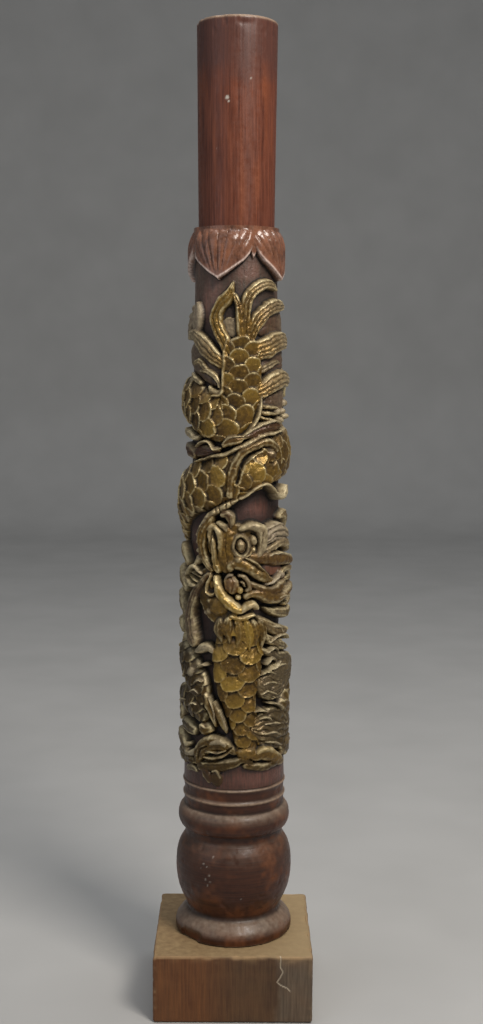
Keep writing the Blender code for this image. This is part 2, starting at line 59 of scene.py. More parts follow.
# Heights and radii of the turned members, as the solids have them
SEAT = 45.3
FOOT_TOP = 62.0
BULB_TOP = 112.0
THROAT_TOP = 117.0
TORUS_TOP = 132.5
RINGS_TOP = 150.5
SHAFT_TOP = 512.0
PILLAR_TOP = 640.0
SHAFT_BAND_RADIUS = 33.6
SHAFT_LOW_RADIUS = 29.6
SHAFT_TOP_RADIUS = 26.0
TENON_LOW_RADIUS = 24.4
TENON_TOP_RADIUS = 25.7

# Collar of lotus petals
COLLAR_LENGTH = 33.5
PETAL_SHARES = (0.0, 0.04, 0.27, 0.49, 0.71, 0.86, 0.95, 1.0)
PETAL_DROPS = (33.5, 32.3, 29.0, 25.2, 21.6, 17.6, 13.5, 10.0)
FACE_DROPS = (0.0, 1.0, 3.0, 6.0, 9.0, 13.0, COLLAR_LENGTH)
FACE_SWELLS = (-0.25, 0.1, 0.42, 0.72, 0.9, 1.0, 0.97)
COLLAR_PROJECTION = 5.2
PETAL_SPREAD = 45.0
PETAL_TURN = -22.0

# The chart that the carving is laid out on: the shaft unrolled at this radius, as in the solids
CHART_RADIUS = 34.0
CHART_DEGREE = math.radians(1.0) * CHART_RADIUS
ROUND = 360.0 * CHART_DEGREE
RELIEF_DEPTH = 10.0
RELIEF_SHARES = (0, 0.03, 0.06, 0.105, 0.16, 0.24, 0.35, 0.43, 0.5, 0.57, 0.67, 0.75, 0.8, 0.9, 1)
RELIEF_READS = (0.08, 0.2, 0.48, 0.78, 0.9, 0.96, 0.92, 0.86, 1, 0.9, 0.78, 0.68, 0.58, 0.5, 0.4)
GROUND_SHARES = (0.0, 0.04, 0.08, 0.12)
GROUND_FALLS = (0.0, 0.05 / 0.52, 0.35 / 0.52, 1.0)

# How fast the side of a carved form falls to what lies beside it, in millimetres for each millimetre
WALL = 8.0

# The grid of the shaft: columns by angle, finer in front, and rows by level
FRONT_EDGE = 100.0
FRONT_STEP = 0.72
BACK_STEP = 1.15
ROWS = 800
DEGREES = np.concatenate([np.arange(-FRONT_EDGE, FRONT_EDGE, FRONT_STEP),
                          np.arange(FRONT_EDGE, 360.0 - FRONT_EDGE, BACK_STEP)])
LEVELS = np.linspace(RINGS_TOP, SHAFT_TOP, ROWS)
ACROSS = DEGREES * CHART_DEGREE
GRID_X, GRID_Y = np.meshgrid(ACROSS, LEVELS)
GRID_TURN = GRID_X / CHART_DEGREE

# What the carving writes on the grid: height over the bare log, gilding, tone, dust, the scales'
# rims, worn and with painted highlight, the painted shade at their roots, and where the collar is
HEIGHT, GILT, TONE, DUST, RIM, ROOT_SHADE, PETAL = (np.zeros(GRID_X.shape) for field in range(7))

# Rows of the random tables that noise is read from, and their columns where they needn't close
TABLE_ROWS = 263
TABLE_COLUMNS = 257

# Places on a body's route where its scales are counted, and a length that no scale reaches
COUNTS = 600
FAR = 9.0


# Numbers that several shapes use

def smooth(low, high, value):
    """0 below low, 1 above high, and between them the S-curve 3t^2 - 2t^3."""
    t = np.clip((value - low) / (high - low), 0.0, 1.0)
    return t * t * (3.0 - 2.0 * t)


def angle_from(degrees, middle, whole=360.0):
    """Angle from the middle, from minus to plus half of the whole round."""
    return (degrees - middle + whole / 2) % whole - whole / 2


def cloudy(x, y, size, seed, around=0.0):
    """Noise from -1 to 1: random numbers on a square lattice of that size, joined by S-curves.

    With around, the lattice closes on itself after that length of x, as it must round the log.
    """
    columns = max(2, round(around / size)) if around else TABLE_COLUMNS
    table = np.random.default_rng(seed).uniform(-1.0, 1.0, (TABLE_ROWS, columns))
    u = x / around * columns if around else x / size
    v = y / size
    left, low = np.floor(u).astype(int), np.floor(v).astype(int)
    s, t = u - left, v - low
    s, t = s * s * (3 - 2 * s), t * t * (3 - 2 * t)
    here, right = left % columns, (left + 1) % columns
    down, up = low % TABLE_ROWS, (low + 1) % TABLE_ROWS
    bottom = table[down, here] * (1 - s) + table[down, right] * s
    top = table[up, here] * (1 - s) + table[up, right] * s
    return bottom * (1 - t) + top * t


def soften(field, rows, columns):
    """Gaussian blur by that many rows and columns: the field's waves, each damped by exp(-w^2/2).

    Columns close on themselves round the log, and rows are mirrored at both ends.
    """
    tall = np.concatenate([field, field[::-1]])
    waves = np.fft.rfft2(tall)
    down = 2 * np.pi * np.fft.fftfreq(tall.shape[0])[:, None] * rows
    over = 2 * np.pi * np.fft.rfftfreq(tall.shape[1])[None, :] * columns
    return np.fft.irfft2(waves * np.exp(-(down**2 + over**2) / 2), tall.shape)[: len(field)]


def up_the_shaft(level):
    """Share of the way up the shaft, 0 at the rings and 1 at the collar's top."""
    return (level - RINGS_TOP) / (SHAFT_TOP - RINGS_TOP)


def bare_radius(level):
    """Radius of the bare shaft: a band at the foot, then a slim cone that narrows as rise^1.4."""
    share = up_the_shaft(level)
    rise = np.clip((share - GROUND_SHARES[-1]) / (1.0 - GROUND_SHARES[-1]), 0.0, 1.0)
    band = SHAFT_BAND_RADIUS - (SHAFT_BAND_RADIUS - SHAFT_LOW_RADIUS) * np.interp(
        share, GROUND_SHARES, GROUND_FALLS)
    return band - (SHAFT_LOW_RADIUS - SHAFT_TOP_RADIUS) * rise**1.4


def relief_depth(level):
    """Depth of the carving at a level, read from the shares that the solids use."""
    return RELIEF_DEPTH * np.interp(up_the_shaft(level), RELIEF_SHARES, RELIEF_READS)


def read_along(share, values):
    """One value, or several at even shares of a length, read at each share."""
    values = np.atleast_1d(values)
    return np.interp(share, np.linspace(0.0, 1.0, len(values)), values)


# Carving on the chart

# The hand's waver: how far each place of the chart is out of true, so no outline is quite even
WAVER_X = 0.55 * cloudy(GRID_X, GRID_Y, 7.0, 71, ROUND) + 0.28 * cloudy(GRID_X, GRID_Y, 2.6, 72, ROUND)
WAVER_Y = 0.55 * cloudy(GRID_X, GRID_Y, 7.0, 73, ROUND) + 0.28 * cloudy(GRID_X, GRID_Y, 2.6, 74, ROUND)


def follow(points, step=0.4):
    """Smooth curve through (degrees, level) points, read at even steps.

    Between two points it is the cubic whose slopes are half of the line between their neighbours.
    Gives places on the chart, unit directions and lengths from the start.
    """
    knots = np.array(points, float) * (CHART_DEGREE, 1.0)
    knots = np.vstack([2 * knots[0] - knots[1], knots, 2 * knots[-1] - knots[-2]])
    a, b, c, d = knots[:-3, None], knots[1:-2, None], knots[2:-1, None], knots[3:, None]
    t = np.linspace(0.0, 1.0, 24, endpoint=False)[None, :, None]
    curve = b * (2 * t**3 - 3 * t**2 + 1) + c * (3 * t**2 - 2 * t**3)
    curve = curve + (c - a) / 2 * (t**3 - 2 * t**2 + t) + (d - b) / 2 * (t**3 - t**2)
    curve = np.vstack([curve.reshape(-1, 2), knots[-2]])
    run = np.concatenate([[0.0], np.cumsum(np.hypot(*np.diff(curve, axis=0).T))])
    marks = np.linspace(0.0, run[-1], max(8, int(run[-1] / step)) + 1)
    line = np.stack([np.interp(marks, run, curve[:, 0]), np.interp(marks, run, curve[:, 1])], 1)
    way = np.gradient(line, axis=0)
    return line, way / np.linalg.norm(way, axis=1, keepdims=True), marks


def under(low, high):
    """The parts of the grid under a box of the chart, once for each turn that the box reaches."""
    rows = np.flatnonzero((LEVELS >= low[1]) & (LEVELS <= high[1]))
    for turn in range(-2, 3):
        across = ACROSS + turn * ROUND
        columns = np.flatnonzero((across >= low[0]) & (across <= high[0]))
        if len(rows) and len(columns):
            spot = np.ix_(rows, columns)
            x, y = np.meshgrid(across[columns], LEVELS[rows])
            yield spot, x + WAVER_X[spot], y + WAVER_Y[spot]


def beside(x, y, line, way, marks):
    """Length along the curve and distance to its right, from the nearest point of the curve.

    The places are taken some 6000 at a time, which keeps the tables of distances small.
    """
    spots = np.stack([x.ravel(), y.ravel()], 1)
    size = (line**2).sum(1)
    blocks = np.array_split(spots, max(1, len(spots) // 6000))
    nearest = np.concatenate([np.argmin(size - 2.0 * block @ line.T, axis=1) for block in blocks])
    off, go = spots - line[nearest], way[nearest]
    along = marks[nearest] + (off * go).sum(1)
    right = off[:, 0] * go[:, 1] - off[:, 1] * go[:, 0]
    return along.reshape(x.shape), right.reshape(x.shape)


def band(points, widths, ends=(1.0, 1.0)):
    """For each part of the grid near a route: share of its length, place across it from -1 to 1,
    distance outside it, half its width there, and length along it.

    The half width is read between the widths, and each end is rounded as a circle of that half
    width times the end's number, so a small number gives a blunt end and a large one a point.
    """
    line, way, marks = follow(points)
    length = marks[-1]
    reach = max(widths) / 2 + 2.5
    for spot, x, y in under(line.min(0) - reach, line.max(0) + reach):
        along, right = beside(x, y, line, way, marks)
        share = np.clip(along / length, 0.0, 1.0)
        half = read_along(share, widths) / 2
        for gap, end in ((along, ends[0]), (length - along, ends[1])):
            t = np.clip(gap / (half * end + 1e-6), 0.0, 1.0)
            half = half * np.sqrt(1.0 - (1.0 - t) ** 2) + 1e-3
        beyond = np.maximum(np.maximum(-along, along - length), 0.0)
        outside = np.hypot(np.maximum(np.abs(right) - half, 0.0), beyond)
        yield spot, x, y, share, np.clip(right / half, -1.0, 1.0), outside, half, along


def lay(spot, height, gilt, tone, dust):
    """Puts a form on the grid where it stands higher than what is there."""
    over = height > HEIGHT[spot]
    HEIGHT[spot] = np.where(over, height, HEIGHT[spot])
    for field, value in ((GILT, gilt), (TONE, tone), (DUST, dust), (RIM, 0.0), (ROOT_SHADE, 0.0)):
        field[spot] = np.where(over, value, field[spot])


def crown(q, base, bend):
    """Section of a carved form: base + (1 - base) of the rounded hump (1 - |q|^bend)^(1/bend)."""
    return base + (1.0 - base) * np.maximum(1.0 - np.abs(q) ** bend, 0.0) ** (1.0 / bend)


def strip(points, widths, rises, ridges=1, groove=1.3, base=0.5, bend=2.5, gilt=1.0, tone=0.0,
          dust=0.0, ends=(1.0, 1.0), slant=0.0, wander=0.07):
    """Carved band along a route: its crown, cut into ridges by V-grooves of |sin|^0.36.

    Rises are shares of the relief's depth there. Slant tips the section to one side, and wander is
    how far the ridges stray across the band.
    """
    seed = int(abs(points[0][0] * 7 + points[0][1] * 13 + len(points)))
    for spot, x, y, share, q, outside, half, along in band(points, widths, ends):
        top = read_along(share, rises) * relief_depth(y) * (crown(q, base, bend) + slant * q)
        if ridges > 1:
            astray = q + wander * cloudy(along, half * q, 5.0, seed)
            wave = np.abs(np.sin(np.pi * ridges * (astray + 1) / 2)) ** 0.36
            top = top - groove * np.clip(half / (0.5 * ridges), 0.0, 1.0) * (1.0 - wave)
        lay(spot, top - WALL * outside, read_along(share, gilt), read_along(share, tone),
            read_along(share, dust))


def dome(degrees, level, width, height, rise, turn=0.0, base=0.3, bend=2.0, gilt=1.0, tone=0.0,
         dust=0.0):
    """Domed form on an oval: q is the distance from its middle in shares of its reach."""
    cx, cy = degrees * CHART_DEGREE, level
    reach = max(width, height) / 2 + 2.5
    c, s = math.cos(math.radians(turn)), math.sin(math.radians(turn))
    for spot, x, y in under((cx - reach, cy - reach), (cx + reach, cy + reach)):
        u = ((x - cx) * c + (y - cy) * s) / (width / 2)
        v = (-(x - cx) * s + (y - cy) * c) / (height / 2)
        q = np.hypot(u, v)
        outside = np.maximum(q - 1.0, 0.0) * min(width, height) / 2
        top = rise * relief_depth(y) * crown(np.minimum(q, 1.0), base, bend)
        lay(spot, top - WALL * outside, gilt, tone, dust)


def cut(points, widths, depth, sharp=1.0):
    """Groove along a route: taken off by depth times (1 - |q|)^sharp, and never below the log."""
    for spot, x, y, share, q, outside, half, along in band(points, widths):
        off = depth * (1.0 - np.abs(q)) ** sharp * (outside <= 0.0)
        HEIGHT[spot] = np.maximum(HEIGHT[spot] - off, np.minimum(HEIGHT[spot], 0.0))


def scales(along, across, pitch, column, seed):
    """Rows of round-ended scales that lie like roof tiles, with their free edges towards +along.

    In each column the scales follow each other by one pitch, and every other column is half a
    pitch ahead. A scale's edge falls back to its sides as a circle does, t is the length to the
    next edge ahead in pitches, and of the scales over a place the one with the least t is on top.
    Gives the height share 1 - t, nearness to the edge, nearness to the root, and a number for each.
    """
    u, v = along / pitch, across / column
    near = np.full(u.shape, FAR)
    name = np.zeros(u.shape)
    for step in (-1, 0, 1, 2):
        j = np.floor(v) + step
        a = np.abs(v - j) / 0.72
        back = 0.62 * (1.0 - np.sqrt(np.maximum(1.0 - a * a, 0.0)))
        place = u - 0.5 * (j % 2) + back
        t = np.where(a < 1.0, np.ceil(place) - place, FAR)
        nearer = t < near
        near = np.where(nearer, t, near)
        name = np.where(nearer, np.sin(np.ceil(place) * 12.9 + j * 78.2 + seed) * 43758.5 % 1.0, name)
    near = np.minimum(near, 1.0)
    return 1.0 - near, smooth(0.15, 0.02, near), smooth(0.8, 0.97, near), name


def scaled_body(points, widths, rises, pitch, column, shift, aside, lift, seed, ends=(1.0, 1.0),
                base=0.18, bend=2.1, rim=1.0, tone=0.0, dust=0.0):
    """The dragon's body: a full round crown along the route, with scales on it.

    Base, the height of its edges, may change along the route. Pitch and column shrink with the
    square root of the body's width against its widest.
    """
    parts = np.linspace(0.0, 1.0, COUNTS)
    shrink = np.sqrt(np.clip(read_along(parts, widths) / max(widths), 0.45, 1.0))
    passed = np.cumsum(follow(points)[2][-1] / COUNTS / (pitch * shrink))
    for spot, x, y, share, q, outside, half, along in band(points, widths, ends):
        small = np.interp(share, parts, shrink)
        wander = 0.6 * cloudy(along, q * half, 9.0, seed + 3)
        rows = np.interp(share, parts, passed) + 0.05 * cloudy(along, q * half, 7.0, seed + 4)
        columns = (q * half + aside + wander) / (column * small)
        scale, edge, root, name = scales(rows - shift / pitch, columns, 1.0, 1.0, seed)
        # The scales' free edges: worn gilding with a painted highlight, on some scales only
        rim_wear_and_highlight = rim * smooth(-0.55, 0.45, cloudy(x, y, 13.0, seed + 5))
        top = read_along(share, rises) * relief_depth(y) * crown(q, read_along(share, base), bend)
        top = top + lift * (scale**0.85 - 0.75 + 0.3 * (name - 0.5)) + 0.15 * edge
        height = top - WALL * outside
        over = height > HEIGHT[spot]
        # Besides its own random tone, each scale is painted lighter towards its free edge and darker towards
        # its root, as painted light and shade
        lay(spot, height, 1.0, tone + (name - 0.5) * 0.9 + 0.5 * (scale - 0.6), dust)
        # Painted highlight with wear on the free edges, and painted shade along the roots
        RIM[spot] = np.where(over, rim_wear_and_highlight * edge * (1.0 - np.abs(q) ** 3), RIM[spot])
        ROOT_SHADE[spot] = np.where(over, root, ROOT_SHADE[spot])


# The dragon's body runs from under the chest, twice round the shaft and up to the tail's tip
BODY_ROUTE = (
    (26, 180), (45, 186), (70, 192), (95, 204), (120, 222), (150, 248), (180, 275), (210, 300),
    (240, 321), (270, 336), (300, 345), (330, 350), (360, 356), (390, 363), (420, 367), (450, 370),
    (480, 375), (510, 381), (540, 388), (570, 395), (600, 401), (630, 403), (655, 401), (678, 395),
    (697, 391), (712, 392.5), (722, 399), (727, 410), (728, 424), (728.5, 443.5),
)
BODY_WIDTHS = (13, 24, 29, 31, 32, 33, 33.5, 33.5, 33, 31, 30, 29.5, 29, 29, 28.5, 27)
BODY_RISES = (0.55, 0.85, 0.92, 0.95, 0.95, 0.97, 0.97, 0.95, 0.92, 0.9, 0.92, 0.95, 0.97, 0.98, 1.03,
              1.08)
BODY_EDGES = (0.18,) * 13 + (0.26, 0.42, 0.48)
NECK_ROUTE = ((1, 268), (5, 250), (4, 235), (3, 220), (6, 207), (11, 195), (14, 184), (13, 170))
NECK_WIDTHS = (20, 30, 35, 33, 26, 20, 17, 13)
NECK_RISES = (0.7, 0.85, 0.98, 1.0, 0.95, 0.88, 0.8, 0.6)


def carve_tail_flames():
    """Flames at the tail's tip, fins on both sides of the tail, and scrolls on its left."""
    # Low ground between the fins, dusty in parts, and toned dark as painted shade
    strip(((22, 448), (44, 452), (70, 451), (98, 446)), (11, 17, 18, 9), (0.3, 0.4, 0.5, 0.4), 3, 0.7,
          base=0.7, gilt=0.3, tone=-0.6, dust=(0.1, 0.2, 0.7))
    strip(((22, 425), (48, 426), (74, 429), (98, 428)), (9, 14, 16, 9), (0.3, 0.42, 0.5, 0.4), 3, 0.7,
          base=0.7, gilt=0.35, tone=-0.8, dust=(0.1, 0.15, 0.5))
    strip(((28, 401), (50, 401), (74, 403), (96, 405)), (8, 12, 14, 8), (0.35, 0.5, 0.55, 0.4), 3, 0.7,
          base=0.7, gilt=0.4, tone=-0.7, dust=(0.1, 0.3, 0.6))
    strip(((-14, 414), (-30, 421), (-50, 428), (-78, 434)), (12, 18, 18, 12), (0.3, 0.42, 0.46, 0.4), 4, 0.7,
          base=0.7, gilt=0.4, tone=-0.8, dust=(0.1, 0.3, 0.5))
    # Left: broken stub, ribbed fin, scrolls
    strip(((-60, 445), (-57, 455), (-58.5, 465)), (9, 11.5, 6), (0.7, 0.9, 0.65), 2, 0.5, dust=0.9, gilt=0.3)
    strip(((-84, 441), (-76, 449), (-72, 459)), (6, 9, 4), (0.75, 0.85, 0.6), 2, 0.6, dust=0.8, gilt=0.35)
    for degrees, level in ((-68, 461), (-66, 452), (-82, 456), (-90, 447)):
        dome(degrees, level, 7, 5, 0.7, 30, dust=0.9, gilt=0.3)
    strip(((-6, 424), (-24, 429), (-40, 436.5), (-54, 443), (-70, 446)), (7, 9.5, 11.5, 10, 4),
          (0.75, 0.86, 0.95, 0.98, 0.9), 4, 1.3, dust=(0.0, 0.2, 0.6, 0.9), ends=(0.2, 1.2))
    strip(((-60, 426), (-50, 427.5), (-40, 424), (-32, 419.5)), (2.5, 4.5, 5, 3), (0.7, 0.8, 0.8, 0.7), 2,
          1.0, dust=0.4, tone=-0.3)
    strip(((-46, 421), (-36, 421), (-26, 418.5), (-19, 414), (-19, 410)), (2.5, 4, 4.5, 4, 3),
          (0.7, 0.8, 0.82, 0.8, 0.7), 2, 0.9, dust=0.5)
    strip(((-34, 412), (-28, 408.5), (-20, 407.5), (-15, 410)), (2.5, 4, 4, 2.5), (0.6, 0.75, 0.8, 0.75),
          dust=0.5)
    strip(((-64, 420), (-54, 416), (-44, 413)), (3, 4.5, 3), (0.65, 0.75, 0.7), 2, 0.9, dust=0.5, tone=-0.4)
    # Flames at the tip
    dome(-6.5, 448.5, 17, 12, 0.34, base=0.85, gilt=0.7, dust=0.75)
    strip(((-4, 430), (-13, 439), (-21, 447), (-25, 455.5), (-19.5, 463), (-9, 468.5), (-4, 477.5)),
          (8, 8.5, 9.5, 10, 9.5, 9, 2.5), (0.8, 0.9, 0.98, 1.02, 1.02, 0.98, 0.75), 3, 1.5, ends=(0.2, 2.5),
          tone=0.15)
    strip(((7, 436), (5.5, 447), (4.5, 456), (2.5, 463), (-2, 470)), (7, 6, 5.5, 5.5, 4),
          (0.85, 0.94, 0.96, 0.96, 0.9), 2, 1.2, ends=(0.2, 1.5))
    strip(((11, 434), (10, 448), (11, 458), (15, 466), (24, 472.5), (38, 476), (50, 475.5), (63, 472)),
          (9, 9.5, 9, 9, 8.5, 7.5, 6, 2), (0.75, 0.9, 0.96, 1.0, 1.02, 1.02, 0.96, 0.7), 3, 1.6,
          dust=(0, 0, 0.1, 0.5, 0.7), ends=(0.2, 3))
    strip(((14, 434), (20, 446), (28, 453.5), (40, 459.5), (56, 462.5), (82, 462.5)),
          (7, 9, 10.5, 10.5, 9, 4), (0.7, 0.9, 1.0, 1.08, 1.15, 0.95), 4, 1.5, dust=(0, 0, 0.2, 0.5, 0.8),
          ends=(0.2, 2))
    strip(((12, 431), (28, 434), (42, 436.5), (56, 439.5), (70, 440.5), (92, 438.5)),
          (6, 12, 15, 14, 12, 6), (0.75, 0.92, 1.02, 1.12, 1.2, 1.0), 5, 1.6, dust=(0, 0.1, 0.3, 0.7, 0.9),
          ends=(0.2, 1.5))
    strip(((16, 421), (34, 422.5), (50, 426), (66, 427)), (4, 5, 5, 2), (0.5, 0.62, 0.66, 0.6), 2,
          dust=0.5, tone=-0.4)
    strip(((14, 407), (32, 409.5), (46, 413.5), (60, 416), (74, 416), (94, 413)),
          (5, 10, 13, 13, 11, 6), (0.8, 0.94, 1.04, 1.14, 1.18, 1.0), 4, 1.6, dust=(0, 0.1, 0.4, 0.8, 1.0),
          ends=(0.2, 1.5))
    for level, end in ((398.8, 58), (395.2, 52), (391.6, 46)):
        strip(((25, level + 1.5), (34, level), (end, level - 1.0)), (2.2, 2.8, 1.8), (0.75, 0.85, 0.75),
              base=0.3, dust=0.3)
    for degrees, level, turn in ((56, 396, 20), (62, 390.5, -10), (68, 396, 30), (76, 401, 10), (80, 392, 0)):
        dome(degrees, level, 7, 5, 0.9, turn, dust=0.8, gilt=0.6)


def carve_body():
    """Body with its scales, the ribbed frill on its back, and the hind leg on the front coil."""
    strip(((-92, 374), (-80, 372), (-68, 370), (-52, 366)), (2.5, 6, 8.5, 5), (0.5, 0.6, 0.66, 0.6), 2,
          gilt=0.4, tone=-0.6, ends=(2.5, 1))
    strip(((-54, 370), (-40, 370.5), (-26, 371), (-16, 372)), (7, 9, 6, 3), (0.5, 0.6, 0.62, 0.6), 3, 0.8,
          gilt=0.35, tone=-0.8)
    strip(((-88, 381), (-76, 382.5), (-64, 381), (-52, 378.5), (-44, 379.5)), (2, 4.5, 6, 5, 2),
          (0.6, 0.75, 0.85, 0.85, 0.7), 2, 0.7, dust=0.9, ends=(2.5, 1))
    scaled_body(BODY_ROUTE, BODY_WIDTHS, BODY_RISES, 10.6, 10.2, 4.0, 2.6, 1.8, 5, ends=(1.0, 0.7),
                base=BODY_EDGES)
    # Light lines along the edges of the tail
    strip(((-10.5, 442), (-13, 432), (-13.5, 420), (-14, 411), (-19, 406), (-29, 405.5)),
          (1.6, 2.4, 2.6, 2.6, 2.2, 1.6), (0.88, 0.97, 0.97, 0.97, 0.95, 0.9), base=0.4, dust=0.3, tone=0.3)
    strip(((30, 407), (28.5, 399), (24.5, 391.5), (17, 385.5), (8, 380.5)), (1.6, 2.4, 2.6, 2.4, 1.6),
          (0.88, 0.97, 1.0, 1.0, 0.92), base=0.4, dust=0.5)
    # Frill over the coil's back: a lens, a leaf to the right, a dark scallop to the left
    strip(((-15, 374), (-8, 376.6), (2, 377.6), (10, 379.5)), (2.5, 6, 6, 2), (0.8, 1.0, 1.02, 0.9), 2, 0.6,
          gilt=0.8, tone=-0.2)
    strip(((-15, 375), (-9, 378.8), (0, 380.2), (9, 380.6)), (1.4, 2, 2, 1.4), (0.92, 1.07, 1.09, 1.0),
          base=0.35, dust=0.7)
    strip(((6, 379.5), (18, 382), (32, 385), (46, 386.5), (60, 387)), (3, 6.5, 7, 6, 3),
          (0.85, 0.98, 1.0, 0.98, 0.85), 3, 0.9, gilt=0.5, tone=-0.7)
    strip(((8, 381), (20, 384.8), (34, 388.6), (48, 390), (58, 388.5)), (1.4, 2.2, 2.4, 2.2, 1.4),
          (0.95, 1.09, 1.12, 1.1, 0.95), base=0.35, dust=0.8)
    strip(((-50, 373), (-40, 376.3), (-30, 376), (-23, 371.5), (-15, 373.5)), (1.2, 1.8, 1.8, 1.8, 1.2),
          (0.75, 0.85, 0.86, 0.84, 0.8), base=0.35, dust=0.6)
    strip(((-50, 363), (-34, 366), (-18, 368.3), (-4, 370.6), (8, 374.3), (20, 378.3), (34, 381.3),
           (52, 383), (70, 385)), (1.2, 2, 2.4, 3, 3.2, 3.2, 3, 2.4, 1.6),
          (0.84, 0.94, 1.0, 1.05, 1.08, 1.08, 1.05, 1.0, 0.9), base=0.35, dust=(0.2, 0.4, 0.6, 0.6, 0.4))
    # Hind leg: scaled thigh inside a brown band, with its knee and spur
    scaled_body(((0, 349), (14, 354), (28, 358.5), (44, 361), (62, 362)), (12, 20, 22, 22, 16),
                (0.98, 1.06, 1.08, 1.06, 0.95), 10.5, 10.0, 2.0, 0.5, 1.2, 11, base=0.3, rim=0.5)
    strip(((-5, 341), (-5, 350), (-3, 358.5), (2, 366), (10, 371.3), (22, 374.8), (34, 376.5), (43, 375),
           (48, 370.5)), (5.5, 6, 6, 5.5, 5, 5, 5.5, 6, 5),
          (1.0, 1.06, 1.1, 1.12, 1.13, 1.13, 1.12, 1.1, 1.04), 2, 0.4, base=0.5, gilt=0.9, tone=-0.2)
    dome(41, 368.5, 8.5, 8, 1.14, base=0.45, tone=-0.5, gilt=0.7)
    cut(((2, 350), (4, 358), (10, 365.5), (20, 370.5), (31, 372.5)), (1.6, 2.8, 3.4, 3.0, 1.6), 3.4, 0.7)
    cut(((36, 363.5), (42, 363), (48, 366)), (1.2, 2.0, 1.2), 1.8)
    strip(((4, 341), (12, 343.5), (22, 347.5), (33, 349.8), (42, 347), (48, 343)),
          (1.6, 2.2, 2.6, 2.8, 2.6, 2), (0.9, 1.0, 1.05, 1.06, 1.02, 0.95), base=0.4, dust=0.6)
    strip(((46, 344.5), (54, 341.2), (62, 344), (70, 349)), (3, 5, 5, 2), (0.98, 1.06, 1.02, 0.9), 2, 0.5,
          dust=0.9)
    # Lumpy rim of the belly
    strip(((-44, 317), (-35, 325), (-28, 329.5), (-18, 333.5), (-8, 337), (4, 341)),
          (3, 4, 4.6, 4.6, 4.4, 2.6), (0.72, 0.82, 0.84, 0.84, 0.84, 0.75), base=0.4, dust=0.35, tone=-0.2)
    for degrees, tall in ((-37, 2.4), (-31, 3.0), (-27, 2.2), (-20, 3.0), (-16, 2.2), (-9, 3.0), (-4, 2.2)):
        level = np.interp(degrees, (-44, -28, -8, 4), (317, 329.5, 337, 341))
        cut(((degrees - 1.2, level + tall), (degrees + 1.6, level - tall)), (1.0, 1.5, 1.0), 1.2)


